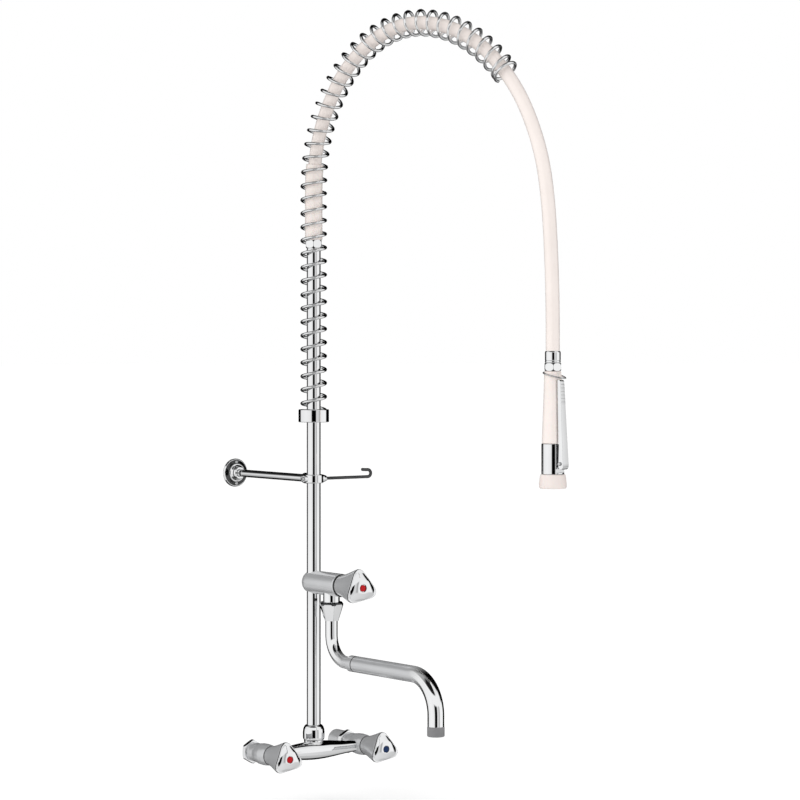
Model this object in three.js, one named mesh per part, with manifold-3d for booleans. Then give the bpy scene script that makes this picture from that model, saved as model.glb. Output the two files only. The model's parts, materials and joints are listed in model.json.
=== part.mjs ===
// Wall-mounted pre rinse faucet: a twin-inlet mixer, a riser with an upper tap and telescopic
// spout, a wall bracket with a hook, a spring-guarded hose and a spray gun with a long lever.
// Millimetres. X right, +Y towards the wall, +Z up. The origin is the centre of the wall
// flange's back face. "forward" means away from the wall, along -Y, counted from the riser axis.
import * as THREE from 'three';
import { mergeVertices } from 'three/addons/utils/BufferGeometryUtils.js';
import Module from 'manifold-3d';

const wasm = await Module();
wasm.setup();

// ---------------------------------------------------------------- driving dimensions
const RISER_TO_WALL = 190; // riser axis in front of the wall
const BRACKET_HEIGHT = 351; // wall bracket above the plane of the two valve axes
const INLET_CENTRES = 150; // hot to cold inlet
const TUBE_RADIUS = 9; // riser tube
const TUBE_BORE = 7.5;
const GAP = 0.3; // between pieces that touch
const RISER_NUT_BASE = 12.6;
const TAP_HEIGHT = 217; // upper tap axis above the valve axes
const TAP_RADIUS = 15;
const TAP_FRONT = 65; // front face of the upper tap's body, forward of the riser
const SPOUT_FORWARD = 40.5; // spout swivel axis
const SPOUT_HEIGHT = 119.5; // spout's level run
const SPOUT_REACH = 265; // outlet axis, forward of the riser
const SPOUT_TUBE = 8; // inner spout tube's radius
const SPOUT_SLEEVE = 10.3; // outer spout tube's radius
const SLEEVE_START = 85;
const COLLAR_BASE = 424.5;
const COLLAR_TOP = 441;
const RISER_TOP = 650;
const HOSE_START = 661.3;
const HOSE_RADIUS = 8.5;
const SPRING_MEAN_RADIUS = 15.4;
const SPRING_WIRE = 2;
const SPRING_PITCH = 17.6;
const ARCH_TURN = THREE.MathUtils.degToRad(-74); // arch plane, from +X towards the front
const GUN_REACH = 377.5; // gun axis from the riser axis, along the arch
const LEVER_PIVOT = { out: 14.4, height: 382 };

const SIDES = 16;
const FINE_SIDES = 18;

// ---------------------------------------------------------------- materials
const finish = (color, roughness, metalness) => ({ color, roughness, metalness });
const CHROME = finish(0xd9dbdd, 0.08, 1);
const BRASS = finish(0xb59a5b, 0.35, 1);
const STEEL = finish(0xb9bbbd, 0.25, 1);
const RUBBER = finish(0x2a2a2a, 0.8, 0);
const CREAM = finish(0xf3e9e3, 0.45, 0);
const GREY = finish(0x848587, 0.5, 0);
const RED = finish(0xbe141e, 0.3, 0);
const BLUE = finish(0x0f2d5a, 0.3, 0);

// ---------------------------------------------------------------- solids
function toSolid(geometry) {
  const bare = geometry.clone();
  bare.deleteAttribute('normal');
  bare.deleteAttribute('uv');
  const merged = mergeVertices(bare, 1e-4);
  const points = merged.attributes.position;
  const triangles = [];
  let volume = 0;
  for (let i = 0; i < merged.index.count; i += 3) {
    const corner = [0, 1, 2].map((k) => merged.index.getX(i + k));
    if (new Set(corner).size < 3) continue;
    const [a, b, c] = corner.map((k) => new THREE.Vector3().fromBufferAttribute(points, k));
    volume += a.dot(b.cross(c));
    triangles.push(corner);
  }
  const facing = volume < 0 ? triangles.map(([a, b, c]) => [a, c, b]) : triangles;
  return new wasm.Manifold(new wasm.Mesh({
    numProp: 3,
    vertProperties: new Float32Array(points.array),
    triVerts: new Uint32Array(facing.flat()),
  }));
}

function toGeometry(solid) {
  const { vertProperties, triVerts } = solid.getMesh();
  const geometry = new THREE.BufferGeometry();
  geometry.setAttribute('position', new THREE.BufferAttribute(vertProperties, 3));
  geometry.setIndex(new THREE.BufferAttribute(triVerts, 1));
  geometry.computeVertexNormals();
  return geometry;
}

const combine = (step) => (first, ...rest) => {
  const solids = rest.map(toSolid);
  return toGeometry(solids.reduce((sum, solid) => sum[step](solid), toSolid(first)));
};
const join = combine('add');
const cut = combine('subtract');
const common = combine('intersect');

// Solid of revolution about Z from [radius, height] points.
function turned(profile, sides = SIDES) {
  const points = profile.map(([radius, height]) => new THREE.Vector2(radius, height));
  return new THREE.LatheGeometry(points, sides).rotateX(Math.PI / 2);
}

// The same about the forward direction: [radius, forward] points.
const turnedForward = (profile, sides) => turned(profile, sides).rotateX(Math.PI / 2);

// The same about +X: [radius, x] points.
const turnedSideways = (profile, sides) => turned(profile, sides).rotateY(Math.PI / 2);

const rodProfile = (radius, from, to) => [[0, from], [radius, from], [radius, to], [0, to]];
const ringProfile = (inner, outer, from, to) => [
  [inner, from], [outer, from], [outer, to], [inner, to], [inner, from],
];

// Hexagonal prism about Z with turned-off corners.
function hexagon(acrossFlats, from, to, chamfer = 1) {
  const corner = acrossFlats / Math.sqrt(3);
  const prism = turned(rodProfile(corner, from, to), 6);
  const blunt = turned([
    [0, from], [corner - chamfer, from], [corner, from + chamfer],
    [corner, to - chamfer], [corner - chamfer, to], [0, to],
  ], FINE_SIDES);
  return common(prism, blunt);
}

// A body whose cross-sections are rings of points, capped at both ends.
function lofted(rings) {
  const count = rings[0].length;
  const points = rings.flat();
  const centre = (ring) => ring.reduce((sum, p) => sum.add(p), new THREE.Vector3()).divideScalar(count);
  points.push(centre(rings[0]), centre(rings.at(-1)));
  const [firstCap, lastCap] = [points.length - 2, points.length - 1];
  const index = [];
  for (let j = 0; j < count; j += 1) {
    const k = (j + 1) % count;
    for (let i = 0; i < rings.length - 1; i += 1) {
      const [low, high] = [i * count, (i + 1) * count];
      index.push(low + j, low + k, high + k, low + j, high + k, high + j);
    }
    const top = (rings.length - 1) * count;
    index.push(firstCap, k, j, lastCap, top + j, top + k);
  }
  const geometry = new THREE.BufferGeometry().setFromPoints(points);
  geometry.setIndex(index);
  return geometry;
}

// A curve that keeps to the stations it is given.
class Route extends THREE.Curve {
  constructor(stations) {
    super();
    this.stations = stations;
  }

  getPoint(t) {
    const place = t * (this.stations.length - 1);
    const i = Math.min(Math.floor(place + 1e-9), this.stations.length - 2);
    return this.stations[i].clone().lerp(this.stations[i + 1], place - i);
  }

  getPointAt(u) {
    return this.getPoint(u);
  }

  getTangentAt(u) {
    const last = this.stations.length - 1;
    const i = Math.round(u * last);
    const [before, after] = [this.stations[Math.max(i - 1, 0)], this.stations[Math.min(i + 1, last)]];
    return after.clone().sub(before).normalize();
  }
}

function circle(radius, sides, bore = 0) {
  const around = (r) => Array.from({ length: sides }, (_, i) => {
    const angle = (i / sides) * Math.PI * 2;
    return new THREE.Vector2(r * Math.cos(angle), r * Math.sin(angle));
  });
  const shape = new THREE.Shape(around(radius));
  if (bore > 0) shape.holes.push(new THREE.Path(around(bore)));
  return shape;
}

// Tube or rod along stations.
function swept(stations, radius, sides, bore = 0) {
  return new THREE.ExtrudeGeometry(circle(radius, sides, bore), {
    steps: stations.length - 1,
    extrudePath: new Route(stations),
  });
}

// Stations along straight runs joined by round bends.
function bentLine(corners, bendRadius, stepsPerBend) {
  const stations = [corners[0].clone()];
  for (let i = 1; i < corners.length - 1; i += 1) {
    const incoming = corners[i].clone().sub(corners[i - 1]).normalize();
    const outgoing = corners[i + 1].clone().sub(corners[i]).normalize();
    const turn = incoming.angleTo(outgoing);
    const setback = bendRadius * Math.tan(turn / 2);
    const start = corners[i].clone().addScaledVector(incoming, -setback);
    const towardCentre = outgoing.clone().addScaledVector(incoming, -Math.cos(turn)).normalize();
    for (let k = 0; k <= stepsPerBend; k += 1) {
      const angle = (turn * k) / stepsPerBend;
      stations.push(start.clone()
        .addScaledVector(incoming, bendRadius * Math.sin(angle))
        .addScaledVector(towardCentre, bendRadius * (1 - Math.cos(angle))));
    }
  }
  stations.push(corners.at(-1).clone());
  return stations;
}

// ---------------------------------------------------------------- the assembly's frames
const faucet = new THREE.Group();
const unit = new THREE.Group(); // riser axis, plane of the valve axes
unit.position.set(0, -RISER_TO_WALL, -BRACKET_HEIGHT);
faucet.add(unit);
const arch = new THREE.Group(); // local +X runs out along the arch
arch.rotation.z = ARCH_TURN;
unit.add(arch);
const gun = new THREE.Group(); // gun axis, lever on local +X
gun.position.x = GUN_REACH;
arch.add(gun);

function place(parent, name, geometry, look, position = [0, 0, 0]) {
  const mesh = new THREE.Mesh(toGeometry(toSolid(geometry)), new THREE.MeshStandardMaterial(look));
  mesh.name = name;
  mesh.position.set(...position);
  parent.add(mesh);
  return mesh;
}

// ---------------------------------------------------------------- mixer body
const VALVE_FRONT = 14.8;
const VALVE_SEAT = -5;
const INLET_BACK = -33.2;

function mixerBody() {
  const shellProfile = [
    [0, -31], [10.1, -31], [10.1, -29.4], [9, -29.4], [9, -26.5], [12, -26.5], [12, -13.4],
    [12.6, -12], [13.5, -6], [13.8, 1], [13.4, 8], [12.3, VALVE_FRONT], [0, VALVE_FRONT],
  ];
  const barrel = Array.from({ length: 13 }, (_, i) => {
    const x = -66 + 11 * i;
    const radius = 7 + 5 * Math.cos((Math.PI * x) / 140) ** 2;
    return Array.from({ length: SIDES }, (_unused, j) => {
      const angle = (j / SIDES) * Math.PI * 2;
      return new THREE.Vector3(x, -3 + radius * Math.cos(angle), -1 + radius * Math.sin(angle));
    });
  });
  const boss = turned([
    [0, -8], [9, -8], [11.6, 0], [12, 6], [12.6, 10.5], [12.6, RISER_NUT_BASE],
    [10.9, RISER_NUT_BASE], [10.9, 22], [0, 22],
  ]);
  const parts = [boss];
  const holes = [
    turned(rodProfile(6, -1, 14)),
    turned(rodProfile(TUBE_RADIUS + GAP, 13.6, 23)),
    turnedSideways(rodProfile(4, -70, 70), 12).translate(0, -3, -1),
  ];
  for (const x of [-INLET_CENTRES / 2, INLET_CENTRES / 2]) {
    parts.push(turnedForward(shellProfile).translate(x, 0, 0));
    holes.push(turnedForward(rodProfile(6.4, -32, VALVE_SEAT + 1)).translate(x, 0, 0));
    holes.push(turnedForward(rodProfile(8, VALVE_SEAT, VALVE_FRONT + 1)).translate(x, 0, 0));
  }
  return cut(join(lofted(barrel), ...parts), ...holes);
}
place(unit, 'mixer_body', mixerBody(), CHROME);

// ---------------------------------------------------------------- inlets
const inletNut = cut(
  hexagon(27, -INLET_BACK - 6.5, -INLET_BACK, 0.8),
  turned(rodProfile(10.5, 29, 34)),
  turned(rodProfile(9.35, 26, 30)),
).rotateX(-Math.PI / 2);
const inletWasher = turnedForward(ringProfile(6.6, 9.9, -32.6, -31.3));
for (const [side, x] of [['hot', -INLET_CENTRES / 2], ['cold', INLET_CENTRES / 2]]) {
  place(unit, `${side}_inlet_nut`, inletNut, CHROME, [x, 0, 0]);
  place(unit, `${side}_inlet_washer`, inletWasher, RUBBER, [x, 0, 0]);
}
const COUPLING_BACK = -58.5;
place(unit, 'cold_inlet_coupling', turnedForward([
  [7, COUPLING_BACK], [12.4, COUPLING_BACK], [13, COUPLING_BACK + 0.8], [13, -34.3],
  [12.4, INLET_BACK - GAP], [7, INLET_BACK - GAP], [7, COUPLING_BACK],
]), STEEL, [INLET_CENTRES / 2, 0, 0]);

// ---------------------------------------------------------------- valves and knobs
const KNOB_DEPTH = 42;
const KNOB_SEAM = 35.5; // where the cap meets the skirt
const KNOB_CAP_EDGE = 1.6;
const KNOB_NECK = 12.2;
const KNOB_FLAT = 14.8; // from the axis to the middle of a side, at the rim
const KNOB_BLUNTNESS = 2.4; // lower rounds the three corners more
const KNOB_CROWN = 17.5;
const KNOB_TURN = THREE.MathUtils.degToRad(-10); // first corner, from straight up

// Distance from the axis to the rim: a triangle with rounded corners, the first at angle 0.
function knobRim(angle) {
  const sum = [60, 180, 300].reduce((total, side) => {
    const towards = Math.max(Math.cos(angle - THREE.MathUtils.degToRad(side)), 0);
    return total + towards ** KNOB_BLUNTNESS;
  }, 0);
  return KNOB_FLAT * sum ** (-1 / KNOB_BLUNTNESS);
}

// Ring square to the forward direction, between a circle (share 0) and the rim's shape (share 1).
function knobRing(round, share, scale, forward) {
  return Array.from({ length: FINE_SIDES }, (_, i) => {
    const angle = (i / FINE_SIDES) * Math.PI * 2;
    const radius = scale * (round * (1 - share) + knobRim(angle) * share);
    const place = angle + KNOB_TURN;
    return new THREE.Vector3(radius * Math.sin(place), -forward, radius * Math.cos(place));
  });
}

function knobGeometry(size) {
  const skirt = [[0, 0], [0.3, 0.24], [0.6, 0.55], [0.85, 0.84], [1, 1]];
  const rings = skirt.map(([along, share]) => knobRing(KNOB_NECK, share, 1, KNOB_SEAM * along));
  const capBase = KNOB_SEAM + KNOB_CAP_EDGE;
  for (const scale of [1, 0.93, 0.8, 0.6, 0.3]) {
    const height = capBase + (KNOB_DEPTH - capBase) * (1 - scale ** 2);
    rings.push(knobRing(KNOB_CROWN, scale ** 2, scale, height));
  }
  const shell = lofted(rings).scale(size, size, size);
  const seam = KNOB_SEAM * size;
  return cut(
    shell,
    turnedForward(rodProfile(10.2, -1, 9)),
    turnedForward(rodProfile(4.3, 8, 22.7), 16),
    turnedForward(rodProfile(2.3, 22, seam - 2), 12),
    turnedForward(rodProfile(4.5, seam - 2.6, KNOB_DEPTH * size + 1)),
  );
}

function makeValve(prefix, at, front, seat, size, dotLook) {
  const knobFront = KNOB_DEPTH * size;
  const seam = KNOB_SEAM * size;
  const gland = cut(
    join(
      turnedForward(rodProfile(7.6, front - 6.3, front + 1)),
      hexagon(15, front + GAP, front + 4.3, 0.6).rotateX(Math.PI / 2),
    ),
    turnedForward(rodProfile(4.3, front - 8, front + 6), 16),
  );
  place(unit, `${prefix}_gland_nut`, gland, BRASS, at);
  place(unit, `${prefix}_valve_washer`, cut(
    turnedForward(rodProfile(7.2, seat + GAP, seat + 10)),
    turnedForward(rodProfile(4.5, seat + 5.2, seat + 11), 16),
  ), RUBBER, at);
  place(unit, `${prefix}_spindle`, cut(
    turnedForward(rodProfile(4, seat + 9, front + 23), 16),
    turnedForward(rodProfile(2.3, front + 15, front + 24), 12),
  ), BRASS, at);
  const knobBack = [at[0], at[1] - front - 2 * GAP, at[2]];
  place(unit, `${prefix}_knob`, knobGeometry(size), CHROME, knobBack);
  place(unit, `${prefix}_knob_screw`, turnedForward([
    [0, 16], [2, 16], [2, seam - 2.3], [3.7, seam - 2.3], [3.7, seam + 0.4], [0, seam + 0.4],
  ], 12), STEEL, knobBack);
  place(unit, `${prefix}_dot`, turnedForward([
    [0, knobFront - 2.6], [4.2, knobFront - 2.6], [4.2, knobFront - 0.4], [3, knobFront - 0.1],
    [0, knobFront],
  ]), dotLook, knobBack);
}
makeValve('hot', [-INLET_CENTRES / 2, 0, 0], VALVE_FRONT, VALVE_SEAT, 1, RED);
makeValve('cold', [INLET_CENTRES / 2, 0, 0], VALVE_FRONT, VALVE_SEAT, 1, BLUE);
makeValve('tap', [0, 0, TAP_HEIGHT], TAP_FRONT, 36, 1.1, RED);

// ---------------------------------------------------------------- riser
const RISER_NUT_TURN = THREE.MathUtils.degToRad(24);
place(unit, 'riser_nut', turned([
  [11.2, RISER_NUT_BASE + GAP], [13.4, RISER_NUT_BASE + GAP], [14.1, 15], [14.2, 22], [13.7, 26.5],
  [12.4, 30], [10.6, 31.9], [9.3, 31.9], [9.3, 24.2], [11.2, 24.2], [11.2, RISER_NUT_BASE + GAP],
], FINE_SIDES), CHROME);
place(unit, 'riser_seal', turned(ringProfile(9.3, 10.9, 22.3, 23.9)), RUBBER);
place(unit, 'lower_riser', turned(ringProfile(TUBE_BORE, TUBE_RADIUS, 13.9, TAP_HEIGHT - 11)), CHROME);
place(unit, 'upper_riser', turned(ringProfile(TUBE_BORE, TUBE_RADIUS, TAP_HEIGHT + 11, RISER_TOP)), CHROME);
place(unit, 'riser_top_nut', cut(
  join(
    hexagon(20, RISER_TOP + GAP, HOSE_START - GAP, 2).rotateZ(RISER_NUT_TURN),
    turned(rodProfile(7.2, RISER_TOP - 10, RISER_TOP + 2)),
  ),
  turned(rodProfile(5, RISER_TOP - 11, HOSE_START + 1), 16),
), CHROME);

// ---------------------------------------------------------------- upper tap and spout
const NECK_END = 187;
function tapBody() {
  const shell = turnedForward([
    [0, -14], [7, -13.4], [11, -11.2], [13.6, -7.6], [14.8, -3], [TAP_RADIUS, 2],
    [TAP_RADIUS, TAP_FRONT - 2.4], [14.2, TAP_FRONT], [0, TAP_FRONT],
  ], FINE_SIDES).translate(0, 0, TAP_HEIGHT);
  const neck = turned([
    [0, NECK_END], [10.8, NECK_END], [10.8, TAP_HEIGHT - 10], [0, TAP_HEIGHT - 10],
  ]).translate(0, -SPOUT_FORWARD, 0);
  const socket = TUBE_RADIUS + GAP;
  return cut(
    join(shell, neck),
    turned(rodProfile(socket, TAP_HEIGHT - 20, TAP_HEIGHT - 10.7)),
    turned(rodProfile(socket, TAP_HEIGHT + 10.7, TAP_HEIGHT + 20)),
    turned(rodProfile(TUBE_BORE, TAP_HEIGHT - 12, TAP_HEIGHT + 12)),
    turnedForward(rodProfile(6, 0, 37), 16).translate(0, 0, TAP_HEIGHT),
    turnedForward(rodProfile(8, 36, TAP_FRONT + 1)).translate(0, 0, TAP_HEIGHT),
    turned(rodProfile(5, 198, TAP_HEIGHT), 16).translate(0, -SPOUT_FORWARD, 0),
    turned(rodProfile(9, NECK_END - 1, 198.6)).translate(0, -SPOUT_FORWARD, 0),
  );
}
place(unit, 'tap_body', tapBody(), CHROME);

const spoutAxis = [0, -SPOUT_FORWARD, 0];
const NUT_BASE = 170.2;
const NUT_TOP = 194.7;
const SPOUT_NUT_TURN = THREE.MathUtils.degToRad(-23);
place(unit, 'spout_nut', cut(
  common(
    turned([[0, NUT_BASE], [9.6, NUT_BASE], [17, 191.5], [17, NUT_TOP], [0, NUT_TOP]], 6)
      .rotateZ(SPOUT_NUT_TURN),
    turned([[0, NUT_BASE], [9.2, NUT_BASE], [15.4, 190.5], [15.4, 192.3], [13.6, NUT_TOP], [0, NUT_TOP]],
      FINE_SIDES),
  ),
  turned(rodProfile(8.4, NUT_BASE - 1, NECK_END)),
  turned(rodProfile(11.15, NECK_END - GAP, NUT_TOP + 1)),
), CHROME, spoutAxis);
place(unit, 'spout_seal', turned(ringProfile(8.2, 8.8, 190, 193)), RUBBER, spoutAxis);

const SPOUT_INNER_END = 205;
const spoutInner = bentLine([
  new THREE.Vector3(0, -SPOUT_FORWARD, 198),
  new THREE.Vector3(0, -SPOUT_FORWARD, SPOUT_HEIGHT),
  new THREE.Vector3(0, -SPOUT_INNER_END, SPOUT_HEIGHT),
], 33, 7);
place(unit, 'spout_inner_tube', swept(spoutInner, SPOUT_TUBE, SIDES, 6.6), CHROME);

const OUTLET_TOP = 60;
const spoutOuter = bentLine([
  new THREE.Vector3(0, -SLEEVE_START, SPOUT_HEIGHT),
  new THREE.Vector3(0, -SPOUT_REACH, SPOUT_HEIGHT),
  new THREE.Vector3(0, -SPOUT_REACH, OUTLET_TOP + GAP),
], 46, 8);
place(unit, 'spout_outer_tube', cut(
  swept(spoutOuter, SPOUT_SLEEVE, SIDES, 8.4),
  turnedForward(rodProfile(9.4, SLEEVE_START - 1, SLEEVE_START + 6)).translate(0, 0, SPOUT_HEIGHT),
), CHROME);
place(unit, 'spout_o_ring', turnedForward(
  ringProfile(8.2, 9.1, SLEEVE_START + 1.5, SLEEVE_START + 4),
), RUBBER, [0, 0, SPOUT_HEIGHT]);

const outletAxis = [0, -SPOUT_REACH, 0];
place(unit, 'spout_outlet_ring', turned([
  [8.5, 48], [10, 48], [10.75, 48.8], [10.75, OUTLET_TOP - 0.8], [10.3, OUTLET_TOP], [8.5, OUTLET_TOP],
  [8.5, 48],
]), GREY, outletAxis);
const aeratorHoles = Array.from({ length: 7 }, (_, i) => {
  const angle = (i / 6) * Math.PI * 2;
  const radius = i < 6 ? 4.6 : 0;
  return turned(rodProfile(1.1, 49, 57), 6).translate(radius * Math.cos(angle), radius * Math.sin(angle), 0);
});
place(unit, 'spout_aerator', cut(turned(rodProfile(8.1, 50, 56)), ...aeratorHoles), GREY, outletAxis);

// ---------------------------------------------------------------- wall bracket and hook
const ROD_RADIUS = 5;
const FLANGE_RADIUS = 19;
const FLANGE_SCREW_CIRCLE = 14.3;
const FLANGE_SCREW_RADIUS = 2.4;
const flangeScrews = [['top', FLANGE_SCREW_CIRCLE], ['bottom', -FLANGE_SCREW_CIRCLE]];
place(unit, 'wall_flange', cut(
  turnedForward([
    [0, 0], [FLANGE_RADIUS, 0], [FLANGE_RADIUS, 1.8], [17.8, 3.4], [14, 4.6], [11, 6], [9, 8.5],
    [8.4, 12.6], [7.6, 13.6], [0, 13.6],
  ], FINE_SIDES).translate(0, RISER_TO_WALL, 0),
  turnedForward(rodProfile(ROD_RADIUS + GAP, 5 - RISER_TO_WALL, 14 - RISER_TO_WALL)),
  ...flangeScrews.map(([, height]) => turnedForward(
    rodProfile(FLANGE_SCREW_RADIUS + GAP, -1 - RISER_TO_WALL, 6 - RISER_TO_WALL), 12,
  ).translate(0, 0, height)),
), CHROME, [0, 0, BRACKET_HEIGHT]);
for (const [side, height] of flangeScrews) {
  place(unit, `flange_screw_${side}`, turnedForward([
    [0, 0.5], [FLANGE_SCREW_RADIUS, 0.5], [FLANGE_SCREW_RADIUS, 4.6], [1.6, 5.4], [0, 5.6],
  ], 12), STEEL, [0, RISER_TO_WALL, BRACKET_HEIGHT + height]);
}
place(unit, 'bracket_rod', turnedForward(rodProfile(ROD_RADIUS, 5.3 - RISER_TO_WALL, -14.8), 16),
  CHROME, [0, 0, BRACKET_HEIGHT]);

const CLAMP_HEIGHT = 11;
const HOOK_ROOT = 15;
const clampHub = cut(
  join(
    turned([
      [0, -CLAMP_HEIGHT / 2], [12, -CLAMP_HEIGHT / 2], [12.6, 0.8 - CLAMP_HEIGHT / 2],
      [12.6, CLAMP_HEIGHT / 2 - 0.8], [12, CLAMP_HEIGHT / 2], [0, CLAMP_HEIGHT / 2],
    ], FINE_SIDES),
    turnedForward([[0, -21], [6.6, -21], [7, -20], [7, -8], [0, -8]]),
    turnedSideways([[0, 8], [5.2, 8], [5.2, 14], [3.6, 19], [0, 19]], 16),
    turnedSideways([[0, -16.5], [4.2, -16.5], [4.6, -15.5], [4.6, -8], [0, -8]], 16),
  ),
  turned(rodProfile(TUBE_RADIUS + GAP, -8, 8)),
  turnedForward(rodProfile(ROD_RADIUS + GAP, -22, -14.5), 16),
  turnedSideways(rodProfile(2.3, HOOK_ROOT - GAP, 20), 10),
  turnedSideways(rodProfile(2.3, -17, -8), 12),
);
place(unit, 'riser_clamp', clampHub, CHROME, [0, 0, BRACKET_HEIGHT]);
place(unit, 'clamp_screw', turnedSideways([
  [0, -18.6], [2.6, -18.6], [3.1, -18], [3.1, -16.8], [2, -16.8], [2, -9.6], [0, -9.6],
], 12), STEEL, [0, 0, BRACKET_HEIGHT]);

const HOOK_RADIUS = 2;
const HOOK_BEND = 4.6;
const hookStations = [new THREE.Vector3(HOOK_ROOT, 0, 0)];
for (let i = 0; i <= 10; i += 1) {
  const angle = (i / 10) * Math.PI;
  hookStations.push(new THREE.Vector3(
    86 + HOOK_BEND * Math.sin(angle), 0, HOOK_BEND * (1 - Math.cos(angle))));
}
hookStations.push(new THREE.Vector3(77, 0, 2 * HOOK_BEND + 0.5));
place(unit, 'gun_hook', swept(hookStations, HOOK_RADIUS, 10), CHROME, [0, 0, BRACKET_HEIGHT]);

// ---------------------------------------------------------------- spring collar
const COLLAR_RADIUS = 19.8;
const COLLAR_FLOOR = 431;
const SCREW_HEIGHT = 427.8;
place(unit, 'spring_collar', cut(
  turned([
    [0, COLLAR_BASE], [COLLAR_RADIUS - 0.6, COLLAR_BASE], [COLLAR_RADIUS, COLLAR_BASE + 0.6],
    [COLLAR_RADIUS, COLLAR_TOP - 0.6], [COLLAR_RADIUS - 0.6, COLLAR_TOP], [0, COLLAR_TOP],
  ], FINE_SIDES),
  turned(rodProfile(18.2, COLLAR_FLOOR, COLLAR_TOP + 1), FINE_SIDES),
  turned(rodProfile(TUBE_RADIUS + GAP, COLLAR_BASE - 1, COLLAR_FLOOR + 1)),
  turnedForward(rodProfile(2.3, -21, -8), 12).translate(0, 0, SCREW_HEIGHT),
), CHROME);
place(unit, 'collar_screw', turnedForward(rodProfile(2, -19, -9.6), 12), STEEL, [0, 0, SCREW_HEIGHT]);

// ---------------------------------------------------------------- hose
// Hose centreline in the arch plane: [distance out from the riser, height].
const HOSE_ROUTE = [
  [0, HOSE_START], [0, 700], [0.5, 740], [4.5, 775], [13.5, 808], [28, 840], [48, 871], [77, 899],
  [115, 921], [160, 931], [204, 926.5], [243, 912], [277, 890], [306, 862], [330, 829],
  [349, 790], [362, 750], [370, 703], [374.8, 640], [377, 580], [GUN_REACH, 518.8],
];
const hoseCurve = new THREE.CatmullRomCurve3(
  HOSE_ROUTE.map(([out, height]) => new THREE.Vector3(out, 0, height)),
  false,
  'centripetal',
);
hoseCurve.arcLengthDivisions = 2000;
const HOSE_LENGTH = hoseCurve.getLength();
const alongHose = (distance) => hoseCurve.getPointAt(THREE.MathUtils.clamp(distance / HOSE_LENGTH, 0, 1));
const hoseStations = (from, to, count) => Array.from({ length: count + 1 },
  (_, i) => alongHose(from + ((to - from) * i) / count));
place(arch, 'hose', swept(hoseStations(0, HOSE_LENGTH, 34), HOSE_RADIUS, 10), CREAM);

const SLEEVE_LENGTH = 97;
place(arch, 'hose_sleeve', swept(hoseStations(0, SLEEVE_LENGTH, 4), 11.3, 12, 9.5), CREAM);

// ---------------------------------------------------------------- guard spring
// It stands in the collar, follows the riser and then the hose, with a closed coil at each end.
const SPRING_BASE = COLLAR_FLOOR + SPRING_WIRE + 0.5;
const SPRING_ON_HOSE = 520;
const CLOSED_PITCH = 2 * SPRING_WIRE + 0.4;
const SPRING_LENGTH = HOSE_START - SPRING_BASE + SPRING_ON_HOSE;
function springStations(stepsPerTurn) {
  const openTurns = (SPRING_LENGTH - 2 * CLOSED_PITCH) / SPRING_PITCH;
  const turns = openTurns + 2;
  const steps = Math.round(turns * stepsPerTurn);
  return Array.from({ length: steps + 1 }, (_, i) => {
    const turn = (i / steps) * turns;
    const closedStart = Math.min(turn, 1) * CLOSED_PITCH;
    const open = THREE.MathUtils.clamp(turn - 1, 0, openTurns) * SPRING_PITCH;
    const closedEnd = Math.max(turn - 1 - openTurns, 0) * CLOSED_PITCH;
    const distance = closedStart + open + closedEnd - (HOSE_START - SPRING_BASE);
    const centre = distance < 0 ? new THREE.Vector3(0, 0, HOSE_START + distance) : alongHose(distance);
    const tangent = distance < 0 ? new THREE.Vector3(0, 0, 1)
      : hoseCurve.getTangentAt(distance / HOSE_LENGTH);
    const side = new THREE.Vector3(0, 1, 0);
    const outward = side.clone().cross(tangent).normalize();
    const angle = turn * Math.PI * 2;
    return centre
      .addScaledVector(outward, SPRING_MEAN_RADIUS * Math.cos(angle))
      .addScaledVector(side, SPRING_MEAN_RADIUS * Math.sin(angle));
  });
}
place(arch, 'guard_spring', swept(springStations(8), SPRING_WIRE, 4), CHROME);

// ---------------------------------------------------------------- spray gun
const FERRULE_TOP = 518.5;
const FERRULE_BASE = 504.3;
const HANDLE_TOP = 494;
const HANDLE_BASE = 406.3;
const HOUSING_TOP = 406;
const FLAT_BASE = 371;
const STEM_HEIGHT = 394;
const GUN_NUT_TURN = THREE.MathUtils.degToRad(98);
place(gun, 'hose_ferrule', turned([
  [5, FERRULE_BASE], [9.3, FERRULE_BASE], [9.6, FERRULE_BASE + 0.5], [9.6, FERRULE_TOP - 1.4],
  [8.9, FERRULE_TOP], [5, FERRULE_TOP], [5, FERRULE_BASE],
]), CHROME);
place(gun, 'gun_nut', cut(
  hexagon(19.6, HANDLE_TOP + GAP, FERRULE_BASE - GAP, 2).rotateZ(GUN_NUT_TURN),
  turned(rodProfile(5, 490, 510), 16),
), CHROME);

// The side of handle and housing that faces the lever is cut flat.
const flatCut = (low, high, outLow, outHigh) => {
  const side = new THREE.Shape([
    new THREE.Vector2(outLow, low), new THREE.Vector2(30, low), new THREE.Vector2(30, high),
    new THREE.Vector2(outHigh, high),
  ]);
  return new THREE.ExtrudeGeometry(side, { depth: 40, bevelEnabled: false })
    .translate(0, 0, -20).rotateX(Math.PI / 2);
};
place(gun, 'gun_handle', cut(
  turned([
    [0, HANDLE_BASE], [13, HANDLE_BASE], [13.3, HANDLE_BASE + 1], [12.9, 420], [11.4, 460],
    [10.4, HANDLE_TOP - 1.2], [9.8, HANDLE_TOP], [0, HANDLE_TOP],
  ], FINE_SIDES),
  flatCut(400, 500, 10.65, 7.9),
  turned(rodProfile(5, 400, 500), 16),
), CREAM);

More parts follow.
